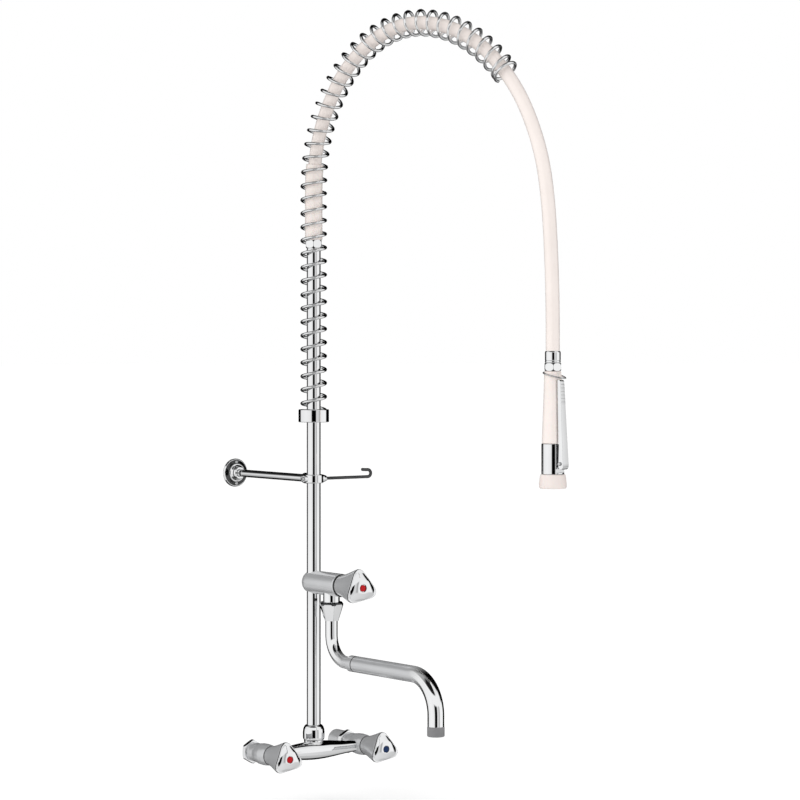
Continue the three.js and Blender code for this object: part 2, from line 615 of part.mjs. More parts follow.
const pivotRod = (radius, half, sides = 16) => turned(rodProfile(radius, -half, half), sides)
  .rotateX(Math.PI / 2).translate(LEVER_PIVOT.out, 0, LEVER_PIVOT.height);
const LUG_RADIUS = 3.1;
const lug = join(
  pivotRod(LUG_RADIUS, 4.2),
  new THREE.BoxGeometry(8, 8.4, 2 * LUG_RADIUS).translate(LEVER_PIVOT.out - 4, 0, LEVER_PIVOT.height),
);
place(gun, 'valve_housing', cut(
  join(
    cut(
      turned([
        [0, 356], [12.5, 356], [12.5, 369.2], [13.9, 369.2], [13.9, HOUSING_TOP], [0, HOUSING_TOP],
      ], FINE_SIDES),
      flatCut(FLAT_BASE, 410, 10.6, 10.6),
    ),
    lug,
  ),
  turned(rodProfile(6, 350, 410), 16),
  turnedSideways(rodProfile(2.7, 4, 12), 12).translate(0, 0, STEM_HEIGHT),
  pivotRod(1.8, 6),
), CHROME);
place(gun, 'bumper', turned([
  [12.8, 351.6], [15.4, 351.6], [16.7, 353.2], [16.9, 357.5], [15.6, 367.8], [14.8, 368.9],
  [12.8, 368.9], [12.8, 351.6],
], FINE_SIDES), CREAM);
const sprayHoles = Array.from({ length: 9 }, (_, i) => {
  const angle = (i / 8) * Math.PI * 2;
  const radius = i < 8 ? 8 : 0;
  return turned(rodProfile(0.9, 352, 357), 6).translate(radius * Math.cos(angle), radius * Math.sin(angle), 0);
});
place(gun, 'spray_plate', cut(turned(rodProfile(12.3, 352.8, 355.7)), ...sprayHoles), GREY);
place(gun, 'lever_pin', turned([
  [0, -8], [2.3, -8], [2.3, -6.8], [1.5, -6.8], [1.5, 6.8], [2.3, 6.8], [2.3, 8], [0, 8],
], 12).rotateX(Math.PI / 2).translate(LEVER_PIVOT.out, 0, LEVER_PIVOT.height), STEEL);

// ---------------------------------------------------------------- lever, stem and lock ring
const LEVER_TOP = 483.6;
const LEVER_BASE = 375.2;
const SHEET = 1.2;
function leverPrism(side, halfLow, halfHigh) {
  const across = new THREE.Shape([
    new THREE.Vector2(-halfLow, LEVER_BASE - 5), new THREE.Vector2(halfLow, LEVER_BASE - 5),
    new THREE.Vector2(halfHigh, LEVER_TOP + 5), new THREE.Vector2(-halfHigh, LEVER_TOP + 5),
  ]);
  const front = new THREE.ExtrudeGeometry(across, { depth: 40, bevelEnabled: false })
    .rotateX(Math.PI / 2).rotateZ(Math.PI / 2);
  const profile = new THREE.ExtrudeGeometry(new THREE.Shape(side.map(([out, height]) =>
    new THREE.Vector2(out, height))), { depth: 30, bevelEnabled: false })
    .translate(0, 0, -15).rotateX(Math.PI / 2);
  return common(profile, front);
}
const leverOutside = [
  [14, LEVER_BASE + 0.2], [16.8, LEVER_BASE], [18.4, 376.4], [19.1, 378.6], [19.2, 382],
  [13.9, LEVER_TOP - 1.6], [12.6, LEVER_TOP], [9.4, LEVER_TOP], [9.2, 478], [11.3, 406],
  [11.9, 390], [11.4, 382], [12, 377.6],
];
const leverInside = [
  [5, LEVER_BASE - 4], [14.4, LEVER_BASE - 4], [17.2, 376.6], [17.9, 379], [18, 382],
  [12.8, LEVER_TOP - 2.2], [12.2, LEVER_TOP - SHEET], [5, LEVER_TOP - SHEET],
];
place(gun, 'lever', cut(
  leverPrism(leverOutside, 6.3, 4.1),
  leverPrism(leverInside, 6.3 - SHEET, 4.1 - SHEET),
  pivotRod(1.8, 12, 12),
), CHROME);
place(gun, 'valve_stem', turnedSideways([
  [0, -3.5], [3.4, -3.5], [3.4, -1.5], [2.2, -1.5], [2.2, 15.2], [3.5, 15.2], [3.5, 16.8], [0, 16.8],
], 12), STEEL, [0, 0, STEM_HEIGHT]);
const stemSpring = Array.from({ length: 25 }, (_, i) => {
  const angle = (i / 6) * Math.PI * 2;
  return new THREE.Vector3(11.3 + (3.4 * i) / 24, 3 * Math.cos(angle), 3 * Math.sin(angle));
});
place(gun, 'valve_spring', swept(stemSpring, 0.4, 4), STEEL, [0, 0, STEM_HEIGHT]);

const RING_BACK = { out: -11.5, height: 492.6 };
const RING_SLOPE = -0.244;
const ringOutline = [
  [-11.5, 0], [-8.2, 8.1], [0, 11.6], [7.2, 10.2], [13.2, 6.8], [16.4, 3.3], [17.2, 0],
  [16.4, -3.3], [13.2, -6.8], [7.2, -10.2], [0, -11.6], [-8.2, -8.1],
];
const ringCurve = new THREE.CatmullRomCurve3(ringOutline.map(([out, across]) =>
  new THREE.Vector3(out, across, RING_BACK.height + RING_SLOPE * (out - RING_BACK.out))), true);
place(gun, 'lock_ring', new THREE.ExtrudeGeometry(circle(0.9, 5), {
  steps: 28,
  extrudePath: ringCurve,
}), STEEL);

export default faucet;
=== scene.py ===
"""Looks of the wall-mounted pre rinse faucet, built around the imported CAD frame.

Lengths are millimetres inside the script, in the same local frames as the CAD part, and each piece is
written to the row frame in metres. "forward" counts away from the wall, along -Y, from the riser axis.
"""
import json
import math

import bmesh
import bpy
from mathutils import Matrix, Vector


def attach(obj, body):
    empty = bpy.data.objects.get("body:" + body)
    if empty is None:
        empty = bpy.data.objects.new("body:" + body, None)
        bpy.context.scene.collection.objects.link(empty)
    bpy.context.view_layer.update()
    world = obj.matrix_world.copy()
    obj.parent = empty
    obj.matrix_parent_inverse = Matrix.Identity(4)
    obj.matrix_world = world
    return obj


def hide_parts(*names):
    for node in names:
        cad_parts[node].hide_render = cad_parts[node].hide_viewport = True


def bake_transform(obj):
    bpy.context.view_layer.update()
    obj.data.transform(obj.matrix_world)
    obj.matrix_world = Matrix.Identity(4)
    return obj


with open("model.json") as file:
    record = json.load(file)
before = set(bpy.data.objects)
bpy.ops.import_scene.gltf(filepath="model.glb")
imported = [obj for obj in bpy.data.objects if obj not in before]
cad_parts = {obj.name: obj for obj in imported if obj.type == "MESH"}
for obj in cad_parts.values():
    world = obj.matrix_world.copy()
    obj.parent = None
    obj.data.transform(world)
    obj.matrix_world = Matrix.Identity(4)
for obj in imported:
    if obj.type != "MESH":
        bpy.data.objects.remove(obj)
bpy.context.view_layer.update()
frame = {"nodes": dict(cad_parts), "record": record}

# ---------------------------------------------------------------- driving dimensions
RISER_TO_WALL = 190.0
BRACKET_HEIGHT = 351.0
INLET_HALF = 75.0
TUBE = 9.0
TAP_HEIGHT = 217.0
TAP_RADIUS = 15.0
TAP_FRONT = 65.0
SPOUT_FORWARD = 40.5
SPOUT_HEIGHT = 119.5
SPOUT_REACH = 265.0
SLEEVE_START = 85.0
RISER_TOP = 650.0
HOSE_START = 661.3
HOSE_RADIUS = 8.5
COLLAR_FLOOR = 431.0
SPRING_RADIUS = 15.4
SPRING_WIRE = 2.0
SPRING_PITCH = 17.6
GUN_REACH = 377.5
PIVOT_OUT = 14.4
PIVOT_HEIGHT = 382.0
VALVE_FRONT = 14.8
ROUND = 72

MM = 0.001
UNIT = Matrix.Scale(MM, 4) @ Matrix.Translation((0, -RISER_TO_WALL, -BRACKET_HEIGHT))
ARCH = UNIT @ Matrix.Rotation(math.radians(-74), 4, "Z")
GUN = ARCH @ Matrix.Translation((GUN_REACH, 0, 0))
BRACKET = UNIT @ Matrix.Translation((0, 0, BRACKET_HEIGHT))

# ---------------------------------------------------------------- camera
CAMERA_AWAY = 3570.0
CAMERA_ASIDE = 112.0
CAMERA_HEIGHT = 544.0
CAMERA_TURN = math.radians(36)
LENS = 123.75
forward_dir = Vector((math.sin(CAMERA_TURN), math.cos(CAMERA_TURN), 0))
right_dir = Vector((math.cos(CAMERA_TURN), -math.sin(CAMERA_TURN), 0))
camera_data = bpy.data.cameras.new("camera")
camera_data.lens = LENS
camera_data.sensor_width = 36
camera_data.shift_y = -0.0875
camera_data.clip_end = 50
camera = bpy.data.objects.new("camera", camera_data)
camera_place = right_dir * CAMERA_ASIDE - forward_dir * CAMERA_AWAY + Vector((0, 0, CAMERA_HEIGHT))
camera.location = UNIT @ camera_place
camera.rotation_euler = (math.radians(90), 0, -CAMERA_TURN)
bpy.context.collection.objects.link(camera)
bpy.context.scene.camera = camera


# ---------------------------------------------------------------- materials
class Nodes:
    """Short way to add and join shader nodes."""

    def __init__(self, name):
        self.material = bpy.data.materials.new(name)
        self.material.use_nodes = True
        self.tree = self.material.node_tree
        self.shader = self.tree.nodes["Principled BSDF"]
        self.position = self.add("ShaderNodeTexCoord").outputs["Object"]

    def add(self, kind, inputs=None, **settings):
        node = self.tree.nodes.new(kind)
        for key, value in settings.items():
            setattr(node, key, value)
        for key, value in (inputs or {}).items():
            if isinstance(value, bpy.types.NodeSocket):
                self.tree.links.new(value, node.inputs[key])
            else:
                node.inputs[key].default_value = value
        return node

    def noise(self, scale, detail=3.0, stretch=(1, 1, 1)):
        mapping = self.add("ShaderNodeMapping", {"Vector": self.position, "Scale": stretch})
        return self.add("ShaderNodeTexNoise", {
            "Vector": mapping.outputs["Vector"], "Scale": scale, "Detail": detail,
        }).outputs["Fac"]

    def ramp(self, value, low, high, start=0.35, end=0.65):
        return self.add("ShaderNodeMapRange", {
            "Value": value, "From Min": start, "From Max": end, "To Min": low, "To Max": high,
        }).outputs["Result"]

    def blend_colour(self, factor, low, high):
        mix = self.add("ShaderNodeMix", {"Factor": factor}, data_type="RGBA")
        mix.inputs[6].default_value = (*low, 1)
        mix.inputs[7].default_value = (*high, 1)
        return mix.outputs[2]

    def link(self, value, socket):
        self.tree.links.new(value, self.shader.inputs[socket])

    def bump(self, height, distance, strength=1.0):
        node = self.add("ShaderNodeBump", {"Height": height, "Distance": distance, "Strength": strength})
        self.link(node.outputs["Normal"], "Normal")

    def fix(self, **values):
        for key, value in values.items():
            self.shader.inputs[key.replace("_", " ")].default_value = value


def metal(name, low, high, rough, scratch=0.0, stretch=(1, 1, 1), scale=900, metallic=1.0):
    """Plated or turned metal: faint tone drift, wiping marks in the gloss and fine scratches."""
    n = Nodes(name)
    drift = n.noise(14, 2)
    n.link(n.blend_colour(n.ramp(drift, 0, 1), low, high), "Base Color")
    wiping = n.noise(60, 5, (1, 1, 0.25))
    n.link(n.ramp(wiping, rough[0], rough[1]), "Roughness")
    if scratch:
        n.bump(n.noise(scale, 2, stretch), scratch)
    n.fix(Metallic=metallic)
    return n.material


def spout_metal():
    """Plating whose level run between the bright bends is painted a plain darker grey as painted shade, and is also
    rougher and less metallic there.
    """
    n = Nodes("spout_chrome")
    forward = n.add("ShaderNodeSeparateXYZ", {"Vector": n.position}).outputs["Y"]
    # where the painted shade fades in behind the first bend and fades out before the second, in row metres
    ends = ((-0.245, -0.268), (-0.438, -0.408))
    masks = [n.add("ShaderNodeMapRange", {"Value": forward, "From Min": low, "From Max": high},
                   interpolation_type="SMOOTHSTEP").outputs["Result"] for low, high in ends]
    painted_shade_run = n.add("ShaderNodeMath", {0: masks[0], 1: masks[1]}, operation="MULTIPLY").outputs[0]
    # the level run's base colour drops to a darker grey: painted shade
    n.link(n.blend_colour(painted_shade_run, (0.90, 0.905, 0.91), (0.56, 0.565, 0.575)), "Base Color")
    gloss = n.ramp(n.noise(60, 5, (1, 1, 0.25)), 0.03, 0.08)
    roughness = n.add("ShaderNodeMath", {0: painted_shade_run, 1: 0.1, 2: gloss}, operation="MULTIPLY_ADD").outputs[0]
    n.link(roughness, "Roughness")
    n.link(n.ramp(painted_shade_run, 1.0, 0.45, 0.0, 1.0), "Metallic")
    n.bump(n.noise(900, 2), 0.000002)
    return n.material


def moulded(name, low, high, rough, grain, grain_scale, coat=0.0, glow=0.0, shine=0.5):
    """Moulded polymer: mottled tone, uneven gloss and a fine grain."""
    n = Nodes(name)
    n.link(n.blend_colour(n.ramp(n.noise(28, 4), 0, 1), low, high), "Base Color")
    n.link(n.ramp(n.noise(180, 3), rough[0], rough[1]), "Roughness")
    n.bump(n.noise(grain_scale, 3), grain)
    n.fix(Metallic=0.0)
    n.shader.inputs["Specular IOR Level"].default_value = shine
    n.shader.inputs["Coat Weight"].default_value = coat
    n.shader.inputs["Subsurface Weight"].default_value = glow
    n.shader.inputs["Subsurface Scale"].default_value = 0.004
    return n.material


def hose_material():
    """Smooth extruded sleeve over a braid: soft gloss and a faint woven relief."""
    n = Nodes("cream_hose")
    n.link(n.blend_colour(n.ramp(n.noise(22, 4), 0, 1), (0.82, 0.745, 0.705), (0.85, 0.775, 0.735)),
           "Base Color")
    n.link(n.ramp(n.noise(150, 3), 0.34, 0.46), "Roughness")
    waves = [n.add("ShaderNodeTexWave", {
        "Vector": n.add("ShaderNodeMapping", {
            "Vector": n.position, "Rotation": (0, math.radians(tilt), 0),
        }).outputs["Vector"], "Scale": 260, "Distortion": 0.6,
    }).outputs["Fac"] for tilt in (38, -38)]
    weave = n.add("ShaderNodeMath", {0: waves[0], 1: waves[1]}, operation="MAXIMUM").outputs[0]
    n.bump(weave, 0.00002, 0.35)
    n.fix(Metallic=0.0)
    n.shader.inputs["Coat Weight"].default_value = 0.6
    n.shader.inputs["Coat Roughness"].default_value = 0.12
    return n.material


MATERIALS = {
    "polished_chrome": metal("polished_chrome", (0.86, 0.865, 0.875), (0.91, 0.915, 0.92), (0.015, 0.05),
                             0.000002, (1, 1, 0.2)),
    "cast_chrome": metal("cast_chrome", (0.53, 0.535, 0.545), (0.58, 0.585, 0.595), (0.14, 0.2), 0.000003,
                         metallic=0.45),
    # near-black chrome used as a painted dark reflection on nut corners, the spout nut's rim, the flange ring and
    # the gun hook
    "painted_dark_reflection": metal("painted_dark_reflection", (0.065, 0.066, 0.068), (0.09, 0.091, 0.093), (0.05, 0.1), 0.000003),
    "spout_chrome": spout_metal(),
    "spring_chrome": metal("spring_chrome", (0.80, 0.805, 0.81), (0.88, 0.885, 0.89), (0.05, 0.12),
                           0.000004),
    "satin_steel": metal("satin_steel", (0.58, 0.59, 0.60), (0.68, 0.685, 0.69), (0.22, 0.34),
                         0.00001, (1, 1, 0.05)),
    "brass": metal("brass", (0.62, 0.45, 0.20), (0.74, 0.58, 0.30), (0.25, 0.4), 0.00001),
    "seal_rubber": moulded("seal_rubber", (0.02, 0.02, 0.02), (0.035, 0.035, 0.035), (0.6, 0.8),
                           0.00004, 700),
    "cream_hose": hose_material(),
    "cream_plastic": moulded("cream_plastic", (0.82, 0.745, 0.705), (0.85, 0.775, 0.735), (0.3, 0.4),
                             0.00002, 1500, 0.5, 0.03),
    "cream_rubber": moulded("cream_rubber", (0.76, 0.68, 0.645), (0.80, 0.725, 0.69), (0.45, 0.6),
                            0.00003, 1100, 0.2, 0.03),
    "grey_plastic": moulded("grey_plastic", (0.19, 0.19, 0.195), (0.25, 0.25, 0.255), (0.4, 0.55),
                            0.00003, 1200),
    "red_dot": moulded("red_dot", (0.42, 0.002, 0.006), (0.50, 0.004, 0.01), (0.3, 0.4), 0.00001, 900,
                       shine=0.2),
    "blue_dot": moulded("blue_dot", (0.004, 0.022, 0.085), (0.007, 0.032, 0.11), (0.3, 0.4), 0.00001,
                        900, shine=0.2),
}


# ---------------------------------------------------------------- mesh building
def rounded_profile(points, radius=0.5, steps=4):
    """The profile with its corners eased by small curves; closed when its ends meet."""
    closed = tuple(points[0]) == tuple(points[-1])
    line = [Vector(p) for p in (points[:-1] if closed else points)]
    count = len(line)
    eased = []
    for i, corner in enumerate(line):
        ends_here = not closed and i in (0, count - 1)
        if ends_here or not radius:
            eased.append(corner)
            continue
        before, after = line[i - 1] - corner, line[(i + 1) % count] - corner
        if math.pi - before.angle(after) < math.radians(3):
            eased.append(corner)
            continue
        reach = min(radius, 0.45 * before.length, 0.45 * after.length)
        start, end = corner + before.normalized() * reach, corner + after.normalized() * reach
        for k in range(steps + 1):
            t = k / steps
            eased.append(start.lerp(corner, t).lerp(corner.lerp(end, t), t))
    return eased, closed


TURNS = {
    "Z": Matrix.Identity(4),
    "F": Matrix.Rotation(math.pi / 2, 4, "X"),
    "X": Matrix.Rotation(math.pi / 2, 4, "Y"),
}


def turned(profile, radius=0.5, sides=ROUND, axis="Z"):
    """Solid of revolution from [radius, distance] points about Z, forward (F) or X."""
    rings, closed = rounded_profile(profile, radius)
    verts, faces, starts = [], [], []
    for point in rings:
        starts.append(len(verts))
        if point.x < 1e-6:
            verts.append(Vector((0, 0, point.y)))
            continue
        for j in range(sides):
            angle = math.tau * j / sides
            verts.append(Vector((point.x * math.cos(angle), point.x * math.sin(angle), point.y)))
    pairs = list(zip(range(len(rings)), range(1, len(rings))))
    if closed:
        pairs.append((len(rings) - 1, 0))
    for a, b in pairs:
        point_a, point_b = rings[a].x < 1e-6, rings[b].x < 1e-6
        for j in range(sides):
            k = (j + 1) % sides
            if point_a and point_b:
                continue
            if point_a:
                faces.append((starts[a], starts[b] + k, starts[b] + j))
            elif point_b:
                faces.append((starts[a] + j, starts[a] + k, starts[b]))
            else:
                faces.append((starts[a] + j, starts[a] + k, starts[b] + k, starts[b] + j))
    return [TURNS[axis] @ v for v in verts], faces


def ring(inner, outer, low, high, ease=0.4, axis="Z"):
    return turned([(inner, low), (outer, low), (outer, high), (inner, high), (inner, low)], ease, ROUND, axis)


def rod(radius, low, high, axis="Z", sides=ROUND, ease=0.0):
    return turned([(0, low), (radius, low), (radius, high), (0, high)], ease, sides, axis)


def stitched(rings, looped=False):
    """Body through rings of points, capped at both ends, or closed on itself when looped."""
    count = len(rings[0])
    verts = [v for one in rings for v in one]
    faces = []
    spans = len(rings) if looped else len(rings) - 1
    for i in range(spans):
        low, high = i * count, (i + 1) % len(rings) * count
        for j in range(count):
            k = (j + 1) % count
            faces.append((low + j, low + k, high + k, high + j))
    if not looped:
        last = (len(rings) - 1) * count
        faces.append(tuple(reversed(range(count))))
        faces.append(tuple(range(last, last + count)))
    return verts, faces


def frames_along(points, looped=False):
    """A normal and a side direction at each point, carried along without twisting."""
    count = len(points)
    tangents = []
    for i in range(count):
        before = points[i - 1] if looped or i else points[0]
        after = points[(i + 1) % count] if looped or i < count - 1 else points[-1]
        tangents.append((after - before).normalized())
    normal = tangents[0].orthogonal().normalized()
    frames = []
    for tangent in tangents:
        normal = (normal - tangent * normal.dot(tangent)).normalized()
        frames.append((normal.copy(), tangent.cross(normal), tangent))
    if looped:
        # what the carried frame is out by after one lap is spread evenly over the lap
        first, side, tangent = frames[0]
        back = (normal - tangents[0] * normal.dot(tangents[0])).normalized()
        lag = math.atan2(back.dot(side), back.dot(first))
        frames = [(
            n * math.cos(lag * i / count) - s * math.sin(lag * i / count),
            s * math.cos(lag * i / count) + n * math.sin(lag * i / count),
            t,
        ) for i, (n, s, t) in enumerate(frames)]
    return frames


def circle_at(centre, frame_at, radius, sides):
    normal, side, _tangent = frame_at
    return [centre + normal * radius * math.cos(math.tau * j / sides)
            + side * radius * math.sin(math.tau * j / sides) for j in range(sides)]


TIP_FULLNESS = 0.98


def swept(points, radius, sides=24, looped=False, domed=0.0, bore=0.0, lip=0.0):
    """Rod or tube along points. domed rounds a rod's ends, lip rounds a tube's mouths."""
    frames = frames_along(points, looped)
    rings = [circle_at(p, f, radius, sides) for p, f in zip(points, frames)]
    if looped:
        return stitched(rings, looped=True)
    ends = ((points[0], frames[0], -1), (points[-1], frames[-1], 1))
    if bore:
        inner = [circle_at(p, f, bore, sides) for p, f in zip(points, frames)]
        mouths = []
        middle, half = (radius + bore) / 2, (radius - bore) / 2
        for centre, at, way in ends:
            arc = [circle_at(centre + at[2] * way * lip * math.sin(a), at, middle + half * math.cos(a), sides)
                   for a in (math.pi * k / 6 for k in range(1, 6))]
            mouths.append(arc)
        return stitched(rings + mouths[1] + list(reversed(inner)) + list(reversed(mouths[0])), looped=True)
    if domed:
        tips = []
        for centre, at, way in ends:
            tips.append([circle_at(centre + at[2] * way * domed * radius * math.sin(a), at,
                                   radius * math.cos(a * TIP_FULLNESS) ** 0.5, sides)
                         for a in (math.pi / 2 * k / 6 for k in range(1, 6))])
        rings = list(reversed(tips[0])) + rings + tips[1]
    return stitched(rings)


def bent_line(corners, bend, steps=18):
    """Points along straight runs joined by round bends."""
    corners = [Vector(c) for c in corners]
    points = [corners[0]]
    for i in range(1, len(corners) - 1):
        incoming = (corners[i] - corners[i - 1]).normalized()
        outgoing = (corners[i + 1] - corners[i]).normalized()
        turn = incoming.angle(outgoing)
        start = corners[i] - incoming * bend * math.tan(turn / 2)
        inward = (outgoing - incoming * math.cos(turn)).normalized()
        for k in range(steps + 1):
            angle = turn * k / steps
            points.append(start + incoming * bend * math.sin(angle) + inward * bend * (1 - math.cos(angle)))
    points.append(corners[-1])
    return points


def spline(points, per_span, looped=False):
    """Centripetal Catmull-Rom curve through the points."""
    points = [Vector(p) for p in points]
    count = len(points)
    if looped:
        around = [points[-1]] + points + points[:2]
    else:
        around = [points[0] * 2 - points[1]] + points + [points[-1] * 2 - points[-2]]
    curve = []
    for i in range(count if looped else count - 1):
        p = around[i:i + 4]
        knot = [0.0]
        for a, b in zip(p, p[1:]):
            knot.append(knot[-1] + (b - a).length ** 0.5)
        for k in range(per_span):
            t = knot[1] + (knot[2] - knot[1]) * k / per_span
            first = [p[m].lerp(p[m + 1], (t - knot[m]) / (knot[m + 1] - knot[m])) for m in range(3)]
            second = [first[m].lerp(first[m + 1], (t - knot[m]) / (knot[m + 2] - knot[m])) for m in range(2)]
            curve.append(second[0].lerp(second[1], (t - knot[1]) / (knot[2] - knot[1])))
    if not looped:
        curve.append(points[-1])
    return curve


def moved(shape, x=0.0, y=0.0, z=0.0):
    return [v + Vector((x, y, z)) for v in shape[0]], shape[1]


def together(*shapes):
    """Separate shapes as one tool mesh."""
    verts, faces = [], []
    for shape in shapes:
        start = len(verts)
        verts += shape[0]
        faces += [tuple(start + i for i in face) for face in shape[1]]
    return verts, faces


def prism(outline, low, high, axis="Y"):
    """Outline pushed out from low to high: (X, Z) points along Y, or (Y, Z) points along X."""
    rings = [[Vector((a, at, b)) if axis == "Y" else Vector((at, a, b)) for a, b in outline]
             for at in (low, high)]
    return stitched(rings)


def make_object(name, shape, matrix):
    verts, faces = shape
    mesh = bpy.data.meshes.new(name)
    mesh.from_pydata([matrix @ v for v in verts], [], faces)
    work = bmesh.new()
    work.from_mesh(mesh)
    bmesh.ops.recalc_face_normals(work, faces=work.faces)
    work.to_mesh(mesh)
    work.free()
    obj = bpy.data.objects.new(name, mesh)
    bpy.context.collection.objects.link(obj)
    return obj


def apply_modifiers(obj):
    graph = bpy.context.evaluated_depsgraph_get()
    result = bpy.data.meshes.new_from_object(obj.evaluated_get(graph))
    obj.modifiers.clear()
    obj.data = result


def boolean(obj, shape, matrix, operation):
    """obj joined with, cut by or kept inside a shape."""
    tool = make_object("tool", shape, matrix)
    step = obj.modifiers.new("step", "BOOLEAN")
    step.operation = operation
    step.solver = "EXACT"
    step.object = tool
    apply_modifiers(obj)
    bpy.data.objects.remove(tool)


def piece(node, shape, matrix, slot, body, joins=(), cuts=(), inside=(), bevel=0.0, sharp=40, ride=True,
          patches=()):
    """A finished piece that stands for a CAD node. Each patch gives a material to the faces it picks."""
    obj = make_object(node + "_fine", shape, matrix)
    for operation, shapes in (("INTERSECT", inside), ("UNION", joins), ("DIFFERENCE", cuts)):
        for extra in shapes:
            boolean(obj, extra, matrix, operation)
    if bevel:
        rim = obj.modifiers.new("rim", "BEVEL")
        rim.width = bevel * MM
        rim.segments = 3
        rim.limit_method = "ANGLE"
        rim.angle_limit = math.radians(28)
        apply_modifiers(obj)
    mesh = obj.data
    mesh.materials.clear()
    mesh.materials.append(MATERIALS[slot])
    to_local = matrix.inverted()
    for number, (look_name, picks) in enumerate(patches, 1):
        mesh.materials.append(MATERIALS[look_name])
        for face in mesh.polygons:
            if picks(to_local @ face.center):
                face.material_index = number
    mesh.shade_smooth()
    mesh.set_sharp_from_angle(angle=math.radians(sharp))
    weighted = obj.modifiers.new("weighted", "WEIGHTED_NORMAL")
    weighted.keep_sharp = True
    if ride:
        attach(obj, body)
    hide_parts(node)
    return obj


CHROME = "polished_chrome"

# ---------------------------------------------------------------- hose, the free cord
HOSE_ROUTE = [
    (0, HOSE_START), (0, 700), (0.5, 740), (4.5, 775), (13.5, 808), (28, 840), (48, 871), (77, 899),
    (115, 921), (160, 931), (204, 926.5), (243, 912), (277, 890), (306, 862), (330, 829),
    (349, 790), (362, 750), (370, 703), (374.8, 640), (377, 580), (GUN_REACH, 518.8),
]
hose_line = spline([(out, 0, height) for out, height in HOSE_ROUTE], 16)
hose_marks = [0.0]
for here, there in zip(hose_line, hose_line[1:]):
    hose_marks.append(hose_marks[-1] + (there - here).length)


def along_hose(distance):
    """Point and direction at a distance along the hose."""
    i = 0
    while i < len(hose_marks) - 2 and hose_marks[i + 1] < distance:
        i += 1
    share = (distance - hose_marks[i]) / (hose_marks[i + 1] - hose_marks[i])
    before, after = hose_line[max(i - 1, 0)], hose_line[min(i + 2, len(hose_line) - 1)]
    return hose_line[i].lerp(hose_line[i + 1], share), (after - before).normalized()


hose = piece("hose", swept(hose_line, HOSE_RADIUS, 40), ARCH, "cream_hose", "arch", ride=False)
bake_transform(hose)

SLEEVE_LENGTH = 97
sleeve_line = [along_hose(SLEEVE_LENGTH * k / 24)[0] for k in range(25)]
piece("hose_sleeve", swept(sleeve_line, 11.3, 40, bore=9.5, lip=0.5), ARCH, "cream_plastic", "arch")

# ---------------------------------------------------------------- guard spring
SPRING_BASE = COLLAR_FLOOR + SPRING_WIRE + 0.5
SPRING_ON_HOSE = 520
CLOSED_PITCH = 2 * SPRING_WIRE + 0.4
SPRING_LENGTH = HOSE_START - SPRING_BASE + SPRING_ON_HOSE
STEPS_PER_TURN = 28
open_turns = (SPRING_LENGTH - 2 * CLOSED_PITCH) / SPRING_PITCH
coil = []
for step in range(round((open_turns + 2) * STEPS_PER_TURN) + 1):
    turn = step / STEPS_PER_TURN
    climb = min(turn, 1) * CLOSED_PITCH + min(max(turn - 1, 0), open_turns) * SPRING_PITCH
    climb += max(turn - 1 - open_turns, 0) * CLOSED_PITCH
    distance = climb - (HOSE_START - SPRING_BASE)
    centre, tangent = along_hose(distance) if distance > 0 else (
        Vector((0, 0, HOSE_START + distance)), Vector((0, 0, 1)))
    side = Vector((0, 1, 0))
    outward = side.cross(tangent).normalized()
    from_centre = outward * math.cos(math.tau * turn) + side * math.sin(math.tau * turn)
    coil.append(centre + SPRING_RADIUS * from_centre)
piece("guard_spring", swept(coil, SPRING_WIRE, 12, domed=0.4), ARCH, "spring_chrome", "arch")

# ---------------------------------------------------------------- mixer body and inlets
arm_profile = [
    (0, -8), (6.4, -8), (6.4, -31), (10.1, -31), (10.1, -29.4), (9, -29.4), (9, -26.5), (12, -26.5),
    (12, -13.4), (12.6, -12), (13.5, -6), (13.8, 1), (13.4, 8), (12.3, VALVE_FRONT),
    (8, VALVE_FRONT), (8, -4.7), (0, -4.7),
]
barrel = []
for i in range(89):
    x = -66 + 1.5 * i
    size = 7 + 5 * math.cos(math.pi * x / 140) ** 2
    barrel.append([
        Vector((x, -3 + size * math.cos(math.tau * j / ROUND), -1 + size * math.sin(math.tau * j / ROUND)))
        for j in range(ROUND)
    ])
arm = turned(arm_profile, 0.6, 96, "F")
ARM_SIDE = 61.5
boss = turned([
    (0, -8), (9, -8), (11.6, 0), (12, 6), (12.6, 10.5), (12.6, 12.6), (10.9, 12.6), (10.9, 22),
    (9.3, 22), (9.3, 13.6), (6, 13.6), (6, 5), (0, 5),
], 0.4, 96)
piece("mixer_body", stitched(barrel), UNIT, CHROME, "root",
      joins=(moved(arm, x=-INLET_HALF), moved(arm, x=INLET_HALF), boss),
      patches=(
          ("cast_chrome", lambda at: abs(at.x) > ARM_SIDE),
          # the arms' front faces, where the knobs meet them, take the dark seal_rubber look: a dark ring at the
          # joint
          ("seal_rubber", lambda at: abs(at.x) > ARM_SIDE and at.y < 0.6 - VALVE_FRONT),
      ))


def hexagon(corner, spin, height):
    """Six corners about Z, the first at the angle spin."""
    return [Vector((corner * math.cos(math.tau * j / 6 + spin), corner * math.sin(math.tau * j / 6 + spin), height))
            for j in range(6)]


def hex_nut(node, across, profile, matrix, slot, body, spin=0.0, axis="Z", joins=(), place_at=(0, 0, 0)):
    """Hexagon whose outside and bore are trimmed by a turned profile. When it stands on Z, its blunted corners are
    painted dark as a painted reflection.
    """
    corner = across / math.sqrt(3)

    def off_flats(at):
        reach = max(at.x * math.cos(spin + math.pi / 6 + math.pi / 3 * j)
                    + at.y * math.sin(spin + math.pi / 6 + math.pi / 3 * j) for j in range(6))
        return axis == "Z" and reach < across / 2 - 0.05 and math.hypot(at.x, at.y) > across / 2 - 0.6

    low, high = min(p[1] for p in profile) - 1, max(p[1] for p in profile) + 1
    verts, faces = stitched([hexagon(corner, spin, at) for at in (low, high)])
    shape = moved(([TURNS[axis] @ v for v in verts], faces), *place_at)
    return piece(node, shape, matrix, slot, body, inside=(moved(turned(profile, 0.25, 96, axis), *place_at),),
                 joins=joins, bevel=0.22, sharp=32, patches=(("painted_dark_reflection", off_flats),))


